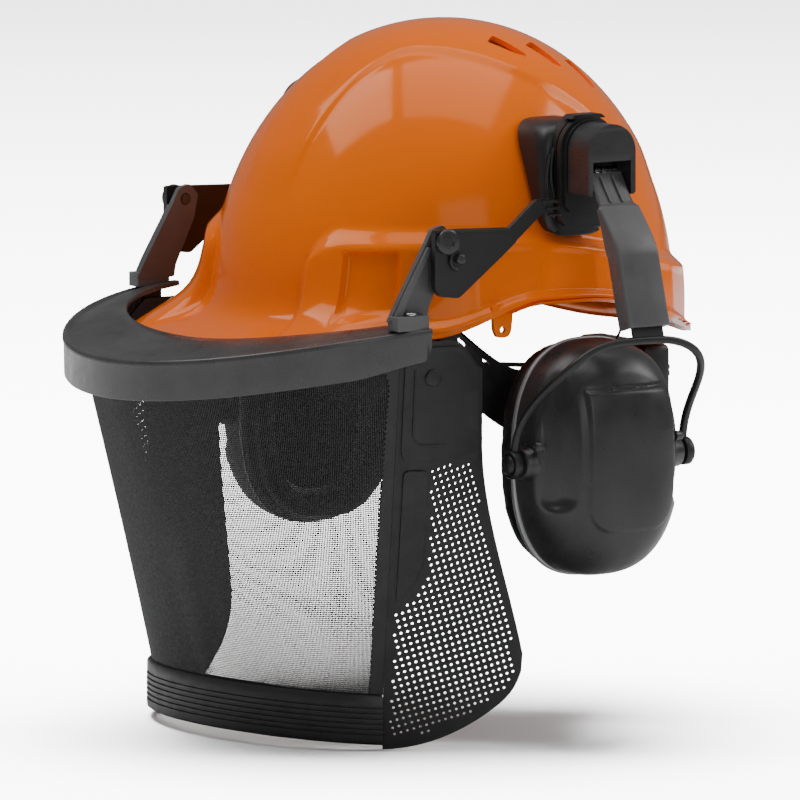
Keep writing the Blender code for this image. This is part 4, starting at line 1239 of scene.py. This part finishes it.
def make_yoke(side, label):
    """The bow: a flattened spring-steel wire moulded over, with round eyes at its ends."""

    def spread(t):
        return 0.5 - 0.5 * math.cos(math.pi * t)

    def place(t):
        t = spread(t)
        ahead = yoke_point(side, min(1.0, t + 0.004)) - yoke_point(side, max(0.0, t - 0.004))
        along = ahead.normalized()
        out = Vector((side, 0.0, 0.0))
        out = (out - along * out.dot(along)).normalized()
        return yoke_point(side, t), out, along.cross(out)

    bow = sweep_shape(place, lambda t: rounded_box(3.4, 3.8, 1.4, corner=4), 120)
    body = "yoke_" + label
    finish_piece("yoke_bow_" + label, bow, "black", body, ("cup_yoke_" + label,), crease=60.0)
    down = Vector((side * ARM_DOWN[0], 0.0, ARM_DOWN[1]))
    end = Vector((side * yoke_top().x, HUB_Y, yoke_top().y))
    across = Vector((0.0, 1.0, 0.0))
    turn = Matrix((across, down.cross(across), down)).transposed().to_4x4()
    tongue = block_shape((17.6, 1.8, 27.0), end - down * 13.0, turn)
    finish_piece("yoke_tongue_" + label, tongue, "black", body, bevel=0.6)
    for sign, word in ((-1, "front"), (1, "rear")):
        spot = (side * YOKE_PIVOT_X, CUP_Y + sign * (YOKE_HALF_SPAN + 2.2), CUP_Z)
        frame_cap = frame_along((0, sign, 0), spot)
        profile = [(0, -3.6), (6.3, -3.6), (6.7, -3.2), (6.7, 0.4), (6.2, 1.0), (5.2, 1.0)]
        profile += [(5.0, 0.5), (4.6, 0.5), (4.4, 2.0), (3.8, 2.5), (0, 2.6)]
        cap = drum_shape(profile, frame_cap, 48)
        name = f"yoke_cap_{word}_{label}"
        finish_piece(f"eye_{word}_{label}", cap, "black", body, (name,), crease=50.0)


def capsule(y, z, middle_y, low, high, radius):
    """Distance inside a vertical capsule, positive inside."""
    spot = min(max(z, low), high)
    return radius - math.hypot(y - middle_y, z - spot)


def cup_relief(y, z):
    """How far the cup's outer face stands out or in at a place on it."""
    away = abs(y - PLATE_MIDDLE_Y)
    inside = min(PLATE_HALF - away, z - PLATE_LOW_Z, PLATE_TOP_Z - z)
    if z < PLATE_LOW_Z + PLATE_CORNER and PLATE_HALF - away < PLATE_CORNER:
        across = PLATE_CORNER - (PLATE_HALF - away)
        inside = PLATE_CORNER - math.hypot(across, PLATE_CORNER - (z - PLATE_LOW_Z))
    raise_by = PLATE_RAISE * smooth_step(-0.5, 0.6, inside)
    line = smooth_step(-1.8, -0.2, -abs(z - PLATE_TOP_Z))
    raise_by -= 0.7 * line * smooth_step(-2.0, 3.0, PLATE_HALF - away)
    for middle in GROOVE_YS:
        deep = capsule(y, z, middle, *GROOVE_ENDS, GROOVE_RADIUS)
        raise_by -= GROOVE_DEPTH * smooth_step(-0.8, 4.4, deep)
    return raise_by


def make_cup(side, label):
    body = "cup_" + label

    def cup_point(u, v, inset):
        lean = v * math.pi / 2.0
        share = math.cos(lean) ** 0.55
        depth = (CUP_DEPTH - inset) * math.sin(lean) ** 0.8
        dy, dz = oval(2.0 * math.pi * u, CUP_HALF_WIDTH - inset, CUP_HALF_HEIGHT - inset)
        taper = 1.0 - 0.05 * smooth_step(10.0, -56.0, dz)
        y = CUP_Y + dy * share * taper
        z = CUP_Z + dz * share
        return CUP_RIM_X + depth, y, z

    def rule(u, v):
        if v <= 0.06:
            part = v / 0.06
            x, y, z = cup_point(u, 0.0, mix(CUP_WALL, 0.0, part))
            return side * x, y, z
        part = (v - 0.06) / 0.94
        part = 1.0 - (1.0 - part) ** 1.25
        x, y, z = cup_point(u, part, 0.0)
        facing = smooth_step(0.1, 0.5, part)
        return side * (x + (cup_relief(y, z) - PLATE_RAISE) * facing), y, z

    skin = grid_shape(rule, CUP_COLUMNS, CUP_ROWS, wrap_u=True)

    def inner(u, v):
        x, y, z = cup_point(u, v, CUP_WALL + 3.0)
        return side * x, y, z

    lining = grid_shape(inner, 80, 16, wrap_u=True)
    finish_piece("cup_skin_" + label, skin, "dark", body, ("cup_shell_" + label,), crease=55.0)
    finish_piece("cup_lining_" + label, lining, "black", body, crease=60.0)
    for sign, word in ((-1, "front"), (1, "rear")):
        at = (side * YOKE_PIVOT_X, CUP_Y + sign * (CUP_HALF_WIDTH - 3.4), CUP_Z)
        profile = [(0, 0), (8.4, 0), (8.0, 2.6), (7.4, 3.6), (7.2, 6.2), (6.6, 6.9), (0, 6.9)]
        boss = drum_shape(profile, frame_along((0, sign, 0), at), 48)
        finish_piece(f"cup_boss_{word}_{label}", boss, "dark", body, crease=50.0)
        spot = (side * (YOKE_PIVOT_X + 8.0), CUP_Y + sign * (CUP_HALF_WIDTH - 3.6), CUP_Z + 8.5)
        profile = [(0, 0), (2.4, 0), (2.4, 3.4), (1.8, 4.0), (0, 4.0)]
        stub = drum_shape(profile, frame_along((0, sign, 0), spot), 24)
        finish_piece(f"cup_stop_{word}_{label}", stub, "dark", body, crease=50.0)

    low = CUSHION_OUT_X + 0.3
    profile = [(-16.0, low), (-0.3, low), (0.2, low + 0.3), (0.5, low + 0.9), (0.5, low + 2.2)]
    profile += [(0.2, low + 2.8), (-0.3, low + 3.0), (-16.0, low + 3.0)]

    def plate(u, v):
        size, x = profile[round(v * len(profile)) % len(profile)]
        dy, dz = oval(2.0 * math.pi * u, CUP_HALF_WIDTH + size, CUP_HALF_HEIGHT + size)
        return side * x, CUP_Y + dy, CUP_Z + dz

    ring = grid_shape(plate, 160, len(profile), wrap_u=True, wrap_v=True)
    finish_piece("cup_plate_" + label, ring, "silver", body, ("back_plate_" + label,), crease=50.0)

    def foam(u, v):
        ring_profile = [(0.0, 0.0), (0.96, 0.0), (1.0, 0.08), (1.0, 0.6), (0.92, 0.85)]
        ring_profile += [(0.7, 1.0), (0.0, 1.0)]
        size, depth = ring_profile[round(v * 6)]
        dy, dz = oval(2.0 * math.pi * u, 24.0, 36.0)
        return side * (low + 1.0 + 20.0 * depth), CUP_Y + dy * size, CUP_Z + dz * size

    sponge = grid_shape(foam, 72, 6, wrap_u=True)
    foam_node = ("ear_foam_" + label,)
    insert = finish_piece("foam_insert_" + label, sponge, "foam", body, foam_node, crease=60.0)


def cushion_mesh():
    """The ring-shaped ear cushion for the left cup, swollen and seamed."""
    reach = CUSHION_OUT_X - CUSHION_IN_X

    def rule(u, v):
        angle = 2.0 * math.pi * v
        size = -7.0 + 4.9 * signed_power(math.cos(angle), 0.8)
        x = (CUSHION_IN_X + CUSHION_OUT_X) / 2 - (reach / 2 - 0.8) * signed_power(math.sin(angle), 0.8)
        dy, dz = oval(2.0 * math.pi * u, CUP_HALF_WIDTH + size, CUP_HALF_HEIGHT + size)
        return x, CUP_Y + dy, CUP_Z + dz

    ring = grid_shape(rule, 96, 24, wrap_u=True, wrap_v=True)
    seam = CUSHION_OUT_X - 3.0

    def held(spot):
        return 1.0 if spot.x > seam else 0.0

    pad = puffed("cushion", ring, 2.2, 3.0, held, 1.1)
    soft = pad.modifiers.new("soft", "SUBSURF")
    soft.levels = 1
    soft.render_levels = 1
    applied(pad)
    for vertex in pad.data.vertices:
        spot = vertex.co / MM
        vertex.co.x = min(max(vertex.co.x, CUSHION_IN_X * MM), CUSHION_OUT_X * MM)
        near = math.exp(-(((spot.x - seam + 1.2) / 0.7) ** 2))
        middle = Vector((spot.x, CUP_Y, CUP_Z))
        away = spot - middle
        if away.length > 32.0:
            vertex.co -= away.normalized() * near * 0.9 * MM
    wrinkle(pad, 0.5, 0.16)
    mesh = pad.data
    bpy.data.objects.remove(pad, do_unlink=True)
    return mesh


def make_cushions():
    left = cushion_mesh()
    right = left.copy()
    right.transform(Matrix.Scale(-1.0, 4, (1.0, 0.0, 0.0)))
    right.flip_normals()
    for label, mesh in (("left", left), ("right", right)):
        mesh.shade_smooth()
        made = finish_mesh("ear_pad_" + label, mesh, "soft", "cup_" + label, ("cushion_" + label,))


# ---------------------------------------------------------------- visor


def make_bracket(side, label):
    """The plate that carries the hinge, with its link back to the mount block."""
    plate = [(-82.5, 24.0), (-79.5, 20.3), (-69.0, 19.0), (-45.5, 36.5), (-36.0, 44.0)]
    plate += [(-34.5, 47.5), (-40.5, 50.5), (-82.5, 52.0)]
    hole = ring_points(HINGE_Y, HINGE_Z, 3.3)
    x = BRACKET_X
    shape = flat_shape(rounded(plate, 1.6), BRACKET_THICK, (hole,))
    bent(shape, lambda a, b, height: (side * (x + height), a, b))
    name = "visor_bracket_" + label
    finish_piece("bracket_plate_" + label, shape, "black", "shell", (name,), bevel=0.5)
    link = [(-46.0, 45.5), (-25.0, 62.6), (-15.6, 62.8), (-15.6, 57.0), (-22.0, 55.6), (-36.0, 44.2)]
    shape = flat_shape(rounded(link, 1.5), BRACKET_THICK - 0.4)
    bent(shape, lambda a, b, height: (side * (x + 0.1 + height), a, b))
    finish_piece("bracket_link_" + label, shape, "black", "shell", bevel=0.6)
    for order in range(3):
        z = 61.2 - 3.1 * order
        fin = block_shape((3.6, 8.5 - order, 1.3), (side * (x + 1.8), -17.2 + order * 1.5, z))
        finish_piece(f"bracket_fin_{order + 1}_{label}", fin, "black", "shell", bevel=0.4)
    edge = [(-82.0, 51.6), (-60.0, 51.0), (-40.5, 50.2), (-40.5, 49.0), (-60.0, 49.6), (-82.0, 50.2)]
    rib = flat_shape(edge, 0.8)
    bent(rib, lambda a, b, height: (side * (x + BRACKET_THICK - 0.1 + height), a, b))
    finish_piece("bracket_rib_" + label, rib, "black", "shell", bevel=0.25)
    spot = (side * (x + BRACKET_THICK - 0.2), -69.0, 37.5)
    profile = [(0, 0), (2.5, 0), (2.5, 2.2), (1.9, 2.8), (0, 2.8)]
    pin = drum_shape(profile, frame_along((side, 0, 0), spot), 32)
    finish_piece("bracket_stop_" + label, pin, "pin", "shell", crease=50.0)
    hook = []
    for step in range(15):
        angle = math.radians(mix(250.0, 95.0, step / 14.0))
        y = -69.0 + 5.2 * math.cos(angle)
        hook.append((side * (x + BRACKET_THICK + 0.7), y, 37.5 + 5.2 * math.sin(angle)))
    finish_piece("bracket_hook_" + label, tube_shape(hook, 0.9, 10), "black", "shell", crease=60.0)
    start = x + BRACKET_THICK + 0.3
    frame_pin = frame_along((-side, 0, 0), (side * (start + 2.4), HINGE_Y, HINGE_Z))
    length = start + 2.4 - (VISOR_ARM_X - 3.3)
    profile = [(0, 0.5), (2.2, 0.5), (2.6, 0.0), (5.0, 0.0), (5.9, 0.5), (6.2, 1.2), (6.2, 2.3)]
    profile += [(2.5, 2.4), (2.5, length), (0, length)]
    shape = drum_shape(profile, frame_pin, 48)
    finish_piece("hinge_pin_" + label, shape, "pin", "shell", ("visor_pin_" + label,), crease=50.0)


def guard_plan(angle):
    x = GUARD_HALF_WIDTH * math.sin(angle)
    y = GUARD_CENTRE_Y - GUARD_DEPTH * math.cos(angle)
    return x, y


def guard_height(angle):
    return mix(-13.0, 5.0, 1.0 - math.cos(angle) ** 1.6 if math.cos(angle) > 0 else 1.0)


def guard_place(t):
    angle = mix(-GUARD_TURN, GUARD_TURN, t)
    x, y = guard_plan(angle)
    tangent = Vector((GUARD_HALF_WIDTH * math.cos(angle), GUARD_DEPTH * math.sin(angle), 0))
    out = Vector((tangent.y, -tangent.x, 0.0)).normalized()
    return (x, y, guard_height(angle)), out, Vector((0, 0, 1))


def make_guard():
    def section(t):
        end = min(t, 1.0 - t)
        fade = smooth_step(0.0, 0.12, end)
        reach = mix(GUARD_END_REACH, GUARD_REACH, smooth_step(0.0, 0.5, end))
        tall = mix(14.0, 18.0, fade)
        rise = reach * 0.2
        nose = math.sqrt(max(0.0, 1.0 - (1.0 - min(1.0, end / 0.012)) ** 2))
        low = mix(-tall * 0.55, -tall, nose)
        points = [
            (-0.5, -2.4),
            (-0.7, low + 0.6),
            (-1.1, low),
            (-GUARD_WALL, low),
            (-GUARD_WALL, -GUARD_WALL),
            (-reach, rise - GUARD_WALL),
            (-reach - 0.2, rise - 1.2),
            (-reach, rise - 0.3),
            (-reach + 0.6, rise),
        ]
        for step in range(1, 6):
            part = step / 6.0
            a = mix(-reach + 0.6, -5.0, part)
            crown = 0.7 * math.sin(math.pi * part)
            points.append((a, mix(rise, 1.0, part) + crown))
        points += [(-4.4, 0.6), (-3.4, 0.7), (-2.4, 1.3), (-1.4, 1.4), (-0.5, 1.1), (0.0, 0.3)]
        points += [(0.0, -1.4), (-0.2, -2.0)]
        return points

    guard = sweep_shape(guard_place, section, 220)
    finish_piece("guard_brow", guard, "guard", "visor", ("brow_guard",), crease=48.0)


def screen_plan(angle, share):
    wide = mix(GUARD_HALF_WIDTH - 5.5, 92.0, share)
    deep = mix(GUARD_DEPTH - 9.5, 58.0, share)
    centre = mix(GUARD_CENTRE_Y, -81.0, share)
    return wide * math.sin(angle), centre - deep * math.cos(angle)


def screen_low(angle):
    return SCREEN_LOW_Z + 4.0 * max(0.0, math.cos(angle))


def screen_point(angle, share, out=0.0):
    x, y = screen_plan(angle, share)
    top = guard_height(angle) - GUARD_WALL - 0.3
    z = mix(top, screen_low(angle), share)
    if out:
        ahead = Vector(screen_plan(angle + 0.01, share)) - Vector(screen_plan(angle - 0.01, share))
        side = Vector((ahead.y, -ahead.x, 0.0)).normalized() * out
        return x + side.x, y + side.y, z
    return x, y, z


def make_screen():
    """Crossing wires 0.7 to 1 mm apart, the upright ones outermost."""
    limit = SCREEN_TURN - math.radians(0.6)
    wires = []
    for index in range(UPRIGHTS + 1):
        angle = mix(-limit, limit, index / UPRIGHTS)
        wires.append([screen_point(angle, step / 10.0, WIRE * 0.42) for step in range(11)])
    for index in range(1, LEVELS):
        share = index / LEVELS
        spots = [screen_point(mix(-limit, limit, s / 84.0), share, -WIRE * 0.42) for s in range(85)]
        wires.append(spots)
    shape = bmesh.new()
    half = WIRE / 2.0
    for spots in wires:
        rings = []
        for index, spot in enumerate(spots):
            before = Vector(spots[max(0, index - 1)])
            after = Vector(spots[min(len(spots) - 1, index + 1)])
            along = (after - before).normalized()
            flat = Vector((spot[0], spot[1] - GUARD_CENTRE_Y, 0.0)).normalized()
            side = along.cross(flat).normalized()
            corners = (flat * half, side * half, -flat * half, -side * half)
            rings.append([shape.verts.new((Vector(spot) + c) * MM) for c in corners])
        for first, second in zip(rings, rings[1:]):
            for step in range(4):
                nxt = (step + 1) % 4
                shape.faces.new((first[step], first[nxt], second[nxt], second[step]))
    finish_piece("screen_wires", shape, "screen", "visor", ("mesh_screen",), crease=80.0)


def make_screen_edges():
    """A moulded strip grips the wire along each side; its inner edge is toothed."""
    for side in (-1, 1):
        teeth = 62
        outline = []
        for step in range(teeth * 2 + 1):
            share = mix(0.985, 0.07, step / (teeth * 2))
            bite = 0.35 if step % 2 else -0.35
            turn = mix(WINDOW_TURN_TOP, WINDOW_TURN_LOW, share)
            corner = max(0.0, (0.13 - share) / 0.06) ** 2
            outline.append((turn + bite - 2.6 * corner, share * 100.0))
        outline.append((WINDOW_TURN_TOP - 4.0, 4.0))
        for step in range(41):
            outline.append((math.degrees(SCREEN_TURN + PANEL_GAP), mix(0.5, 99.0, step / 40.0)))

        def rule(a, b, height, s=side):
            return screen_point(s * math.radians(a), b / 100.0, height - 1.0)

        shape = bent(flat_shape(outline, 2.0, most=6.0), rule)
        finish_piece("screen_edge_" + side_name(side), shape, "panel", "visor", crease=40.0)


def make_trim():
    def place(t):
        angle = mix(-TRIM_END, TRIM_END, t)
        x, y = screen_plan(angle, 1.0)
        ahead = Vector(screen_plan(angle + 0.01, 1.0)) - Vector(screen_plan(angle - 0.01, 1.0))
        out = Vector((ahead.y, -ahead.x, 0.0)).normalized()
        return (x, y, screen_low(angle) - TRIM_HEIGHT / 2), out, Vector((0, 0, 1))

    def section(t):
        half = TRIM_HEIGHT / 2
        points = [(1.2, half + 2.0), (2.4, half + 1.6), (3.0, half + 0.6), (3.0, half - 3.4)]
        ridges = 6
        for index in range(ridges):
            top = half - 3.6 - index * 2.5
            points += [(2.3, top), (2.3, top - 0.8), (3.2, top - 1.1), (3.2, top - 2.2)]
        points += [(2.9, 1.2 - half), (1.6, -half + 0.2), (0.0, -half), (-1.8, 0.8 - half)]
        points += [(-2.4, 2.0 - half), (-2.4, half + 1.6), (-2.0, half + 2.0), (-1.0, half + 2.0)]
        points += [(-0.9, half - 0.3), (0.9, half - 0.3)]
        return points

    trim = sweep_shape(place, section, 150)
    finish_piece("trim_bar", trim, "black", "visor", ("bottom_trim",), crease=40.0)
    low = SCREEN_LOW_Z - TRIM_HEIGHT + 1.5
    high = SCREEN_LOW_Z + 1.0
    for side in (-1, 1):
        outline = [(74.6, low), (79.2, low), (79.2, high), (74.6, high)]

        def tab(a, b, height, s=side):
            turn = s * math.radians(a)
            x, y = screen_plan(turn, 1.0)
            return x * (1.0 - (4.1 - height) / 92.0), y + (4.1 - height) * math.cos(turn), b

        shape = bent(flat_shape(outline, 1.2, most=3.0), tab)
        finish_piece("trim_tab_" + side_name(side), shape, "black", "visor")


def panel_edges(z):
    """The panel's front and rear points at a height."""
    drop = min(1.0, max(0.0, (-1.0 - z) / (-1.0 - PANEL_LOW_Z)))
    start = SCREEN_TURN + PANEL_GAP
    front = Vector(screen_plan(start, min(1.0, drop * 1.1)))
    flare = smooth_step(0.25, 0.95, drop)
    rear = Vector((mix(113.0, 127.0, flare), mix(-54.0, -35.5, flare)))
    return front, rear


def panel_rule(side, lift=0.0):
    """Maps (distance back from the front edge, height) to the curved panel."""

    def rule(a, b, height):
        front, rear = panel_edges(b)
        width = (rear - front).length
        u = a / width
        spot = front.lerp(rear, u)
        bow = 1.5 * math.sin(math.pi * min(1.0, max(0.0, u)))
        along = (rear - front).normalized()
        out = Vector((along.y, -along.x))
        out = out if out.x > 0 else -out
        spot = spot + out * (height + lift - 0.8)
        return side * (spot.x + bow), spot.y, b

    return rule


def panel_width(z):
    front, rear = panel_edges(z)
    return (rear - front).length


def panel_low(u):
    corner = max(0.0, (u - 0.8) / 0.2)
    round_up = 11.0 * (1.0 - math.sqrt(max(0.0, 1.0 - corner * corner)))
    return mix(PANEL_LOW_Z, PANEL_LOW_Z + 34.0, u**1.9) + round_up


def panel_top(u):
    return -1.0 - 14.0 * smooth_step(0.55, 1.0, u) ** 2


def inside_polygon(a, b, ring):
    inside = False
    for (x1, y1), (x2, y2) in zip(ring, ring[1:] + ring[:1]):
        if (y1 > b) != (y2 > b) and a < (x2 - x1) * (b - y1) / (y2 - y1) + x1:
            inside = not inside
    return inside


def make_panel(side, label):
    outline = []
    for step in range(31):
        u = step / 30.0
        z = panel_low(u)
        outline.append((u * panel_width(z), z))
    z0 = panel_low(1.0)
    z1 = panel_top(1.0)
    for step in range(1, 40):
        z = mix(z0, z1, step / 40.0)
        outline.append((panel_width(z), z))
    for step in range(16):
        u = 1.0 - step / 15.0
        z = panel_top(u)
        outline.append((u * panel_width(z), z))
    for step in range(1, 40):
        outline.append((0.0, mix(panel_top(0.0), panel_low(0.0), step / 40.0)))
    margin = HOLE_MARGIN
    region = []
    for step in range(31):
        u = step / 30.0
        z = panel_low(u) + margin + 1.0
        region.append((min(max(u * panel_width(z), 3.0), panel_width(z) - margin), z))
    for step in range(40):
        z = mix(panel_low(1.0) + margin, -60.0, step / 39.0)
        region.append((panel_width(z) - margin, z))
    region += [(18.0, -60.0), (18.0, -112.0), (15.0, -120.0), (4.0, -129.0), (3.0, -180.0)]
    cosine = math.cos(HOLE_TURN)
    sine = math.sin(HOLE_TURN)
    square = rounded_box(HOLE, HOLE, 0.45, corner=1)
    holes = []
    for i in range(-60, 61):
        for j in range(-60, 61):
            a = i * HOLE_PITCH * cosine - j * HOLE_PITCH * sine + 20.0
            b = i * HOLE_PITCH * sine + j * HOLE_PITCH * cosine - 110.0
            if inside_polygon(a, b, region):
                holes.append([(a + x * cosine - y * sine, b + x * sine + y * cosine) for x, y in square])
    shape = bent(flat_shape(outline, PANEL_THICK, holes, most=9.0), panel_rule(side))
    sheet = ("side_panel_" + label,)
    finish_piece("panel_sheet_" + label, shape, "panel", "visor", sheet, crease=40.0)
    raised = []
    plate = [(3.5, -57.0)]
    for step in range(12):
        z = mix(-52.0, -8.0, step / 11.0)
        plate.append((2.4, z))
    for step in range(12):
        u = mix(0.12, 0.9, step / 11.0)
        plate.append((u * panel_width(-10.0), panel_top(u) - 2.6))
    for step in range(8):
        z = mix(-20.0, -55.0, step / 7.0)
        plate.append((panel_width(z) - 2.4, z))
    plate.append((panel_width(-57.0) - 4.0, -57.6))
    raised.append(("top_plate_", rounded(plate, 1.5, 2), 0.9))
    rib = [(4.0, -62.0), (15.5, -62.0), (15.0, -106.0), (11.0, -116.0), (3.6, -126.0)]
    raised.append(("panel_rib_", rounded(rib, 3.0, 4), 1.1))
    for word, ring, height in raised:
        piece = bent(flat_shape(ring, height, most=8.0), panel_rule(side, lift=1.5))
        finish_piece(word + label, piece, "panel", "visor", bevel=0.35)
    line = []
    for step in range(28):
        part = step / 27.0
        if part < 0.75:
            line.append((7.5, mix(-14.0, -44.0, part / 0.75)))
        else:
            angle = math.radians(mix(180.0, 270.0, (part - 0.75) / 0.25))
            line.append((13.5 + 6.0 * math.cos(angle), -44.0 + 6.0 * math.sin(angle)))
    line.append((24.0, -50.0))
    to_panel = panel_rule(side, lift=2.6)
    tube = tube_shape([to_panel(a, b, 0.0) for a, b in line], 0.45, 8)
    finish_piece("panel_line_" + label, tube, "panel", "visor", crease=80.0)
    spot = to_panel(16.5, -18.0, 0.0)
    profile = [(0, -0.6), (4.2, -0.6), (4.0, 0.5), (3.4, 0.9), (0, 0.9)]
    boss = drum_shape(profile, frame_along((side, -0.15, 0), spot), 40)
    finish_piece("panel_boss_" + label, boss, "panel", "visor", crease=50.0)


def make_visor_arm(side, label):
    """A blade from the hinge down to the guard, stiffened by a rib along its front edge."""
    outline = [(-83.5, 44.0), (-79.5, 51.5), (-73.5, 53.2), (-68.8, 48.0), (-71.0, 37.0)]
    outline += [(-81.5, 15.0), (-82.5, FOOT_Z), (-104.0, FOOT_Z), (-99.0, 18.0)]
    hole = ring_points(HINGE_Y, HINGE_Z, 2.8)
    blade = flat_shape(rounded(outline, 1.4), 3.0, (hole,))
    bent(blade, lambda a, b, height: (side * (VISOR_ARM_X - 3.0 + height), a, b))
    name = "visor_arm_" + label
    finish_piece("arm_blade_" + label, blade, "grey", "visor", (name,), bevel=0.5)
    rib = [(-103.0, FOOT_Z + 0.2), (-98.2, 18.5), (-83.0, 43.6)]
    rib += [(-81.2, 42.6), (-95.8, 17.0), (-98.5, FOOT_Z + 0.2)]
    shape = flat_shape(rounded(rib, 0.8), 2.4)
    bent(shape, lambda a, b, height: (side * (VISOR_ARM_X - 0.2 + height), a, b))
    finish_piece("blade_rib_" + label, shape, "grey", "visor", bevel=0.5)
    foot = block_shape((8.6, 18.0, 6.9), (side * 111.0, FOOT_Y, FOOT_Z - 0.45))
    at = (side * 112.5, FOOT_Y, FOOT_Z - 6.5)
    hole_shape = drum_shape([(0, 0), (1.8, 0), (1.8, 14.0), (0, 14.0)], frame_along((0, 0, 1), at), 24)
    foot = combined(foot, [hole_shape], "DIFFERENCE")
    finish_piece("blade_foot_" + label, foot, "grey", "visor", bevel=0.5)
    base = (side * 112.5, FOOT_Y, FOOT_Z - 4.4)
    profile = [(0, 0), (1.5, 0), (1.5, 7.7), (2.8, 7.7), (3.0, 8.1), (2.7, 8.8), (1.6, 9.2), (0, 9.3)]
    rivet = drum_shape(profile, frame_along((0, 0, 1), base), 32)
    finish_piece("rivet_" + label, rivet, "steel", "visor", ("guard_rivet_" + label,), crease=50.0)


# ---------------------------------------------------------------- studio


def camera():
    back = Vector(
        (
            math.sin(CAMERA_TURN) * math.cos(CAMERA_RISE),
            -math.cos(CAMERA_TURN) * math.cos(CAMERA_RISE),
            math.sin(CAMERA_RISE),
        )
    )
    data = bpy.data.cameras.new("camera")
    data.sensor_width = SENSOR
    data.lens = SENSOR * CAMERA_FAR / VIEW_WIDTH
    data.clip_start = 0.1
    data.clip_end = 60.0
    made = bpy.data.objects.new("camera", data)
    bpy.context.scene.collection.objects.link(made)
    made.rotation_mode = "QUATERNION"
    made.location = (Vector(VIEW_CENTRE) + back * CAMERA_FAR) * MM
    made.rotation_quaternion = (-back).to_track_quat("-Z", "Y")
    bpy.context.scene.camera = made


def lamp(name, place, size, power, aim=(0.0, 0.0, -0.03)):
    data = bpy.data.lights.new(name, "AREA")
    data.shape = "RECTANGLE"
    data.size, data.size_y = size
    data.energy = power
    made = bpy.data.objects.new(name, data)
    bpy.context.scene.collection.objects.link(made)
    made.location = place
    made.rotation_mode = "QUATERNION"
    made.rotation_quaternion = (Vector(aim) - Vector(place)).to_track_quat("-Z", "Y")
    return made


def floor_paint():
    """White to the eye; seen from the object it gives back less light, as a far backdrop does."""
    paint = Paint("floor_white", (0.95, 0.95, 0.95), 0.8)
    paint.shader.inputs["Specular IOR Level"].default_value = 0.0
    seen = paint.tree.nodes.new("ShaderNodeLightPath").outputs["Is Camera Ray"]
    colour = paint.tree.nodes.new("ShaderNodeMix")
    colour.data_type = "RGBA"
    colour.inputs["A"].default_value = (FLOOR_BOUNCE, FLOOR_BOUNCE, FLOOR_BOUNCE, 1.0)
    colour.inputs["B"].default_value = (0.95, 0.95, 0.95, 1.0)
    paint.tree.links.new(seen, colour.inputs["Factor"])
    paint.tree.links.new(colour.outputs["Result"], paint.shader.inputs["Base Color"])
    return paint.made


def studio():
    world = bpy.context.scene.world or bpy.data.worlds.new("studio")
    bpy.context.scene.world = world
    world.use_nodes = True
    sky = world.node_tree.nodes["Background"]
    sky.inputs["Color"].default_value = (1.0, 1.0, 1.0, 1.0)
    sky.inputs["Strength"].default_value = SKY
    low = CAD_BOX[0].z
    shape = bmesh.new()
    bmesh.ops.create_grid(shape, x_segments=1, y_segments=1, size=12.0)
    bmesh.ops.translate(shape, vec=(0.0, 0.0, low - 0.0005), verts=shape.verts[:])
    mesh = bpy.data.meshes.new("floor")
    shape.to_mesh(mesh)
    shape.free()
    floor = bpy.data.objects.new("floor", mesh)
    bpy.context.scene.collection.objects.link(floor)
    mesh.materials.append(floor_paint())
    only_floor = bpy.data.collections.new("lit_floor")
    only_floor.objects.link(floor)
    overhead = lamp("floor_light", (-0.7, 0.3, 2.7), (2.2, 2.2), FLOOR_POWER, aim=(-0.5, 0.5, 0.0))
    overhead.light_linking.receiver_collection = only_floor
    lamp("key", (-0.8, -1.1, 2.5), (1.8, 1.4), KEY_POWER)
    lamp("fill_right", (2.4, -0.5, 0.7), (1.0, 1.6), FILL_POWER)
    lamp("rim", (0.9, 1.9, 1.3), (1.2, 1.2), RIM_POWER)
    lamp("top", (0.2, 0.3, 2.2), (1.6, 1.6), TOP_POWER)


def main():
    camera()
    make_shell()
    make_headband()
    for side in (-1, 1):
        make_tail(side)
    make_ratchet()
    make_pads()
    make_straps()
    for side in (-1, 1):
        label = side_name(side)
        make_base(side, label)
        make_hub(side, label)
        make_arm(side, label)
        make_yoke(side, label)
        make_cup(side, label)
        make_bracket(side, label)
        make_panel(side, label)
        make_visor_arm(side, label)
    make_cushions()
    make_guard()
    make_screen()
    make_screen_edges()
    make_trim()
    studio()


main()
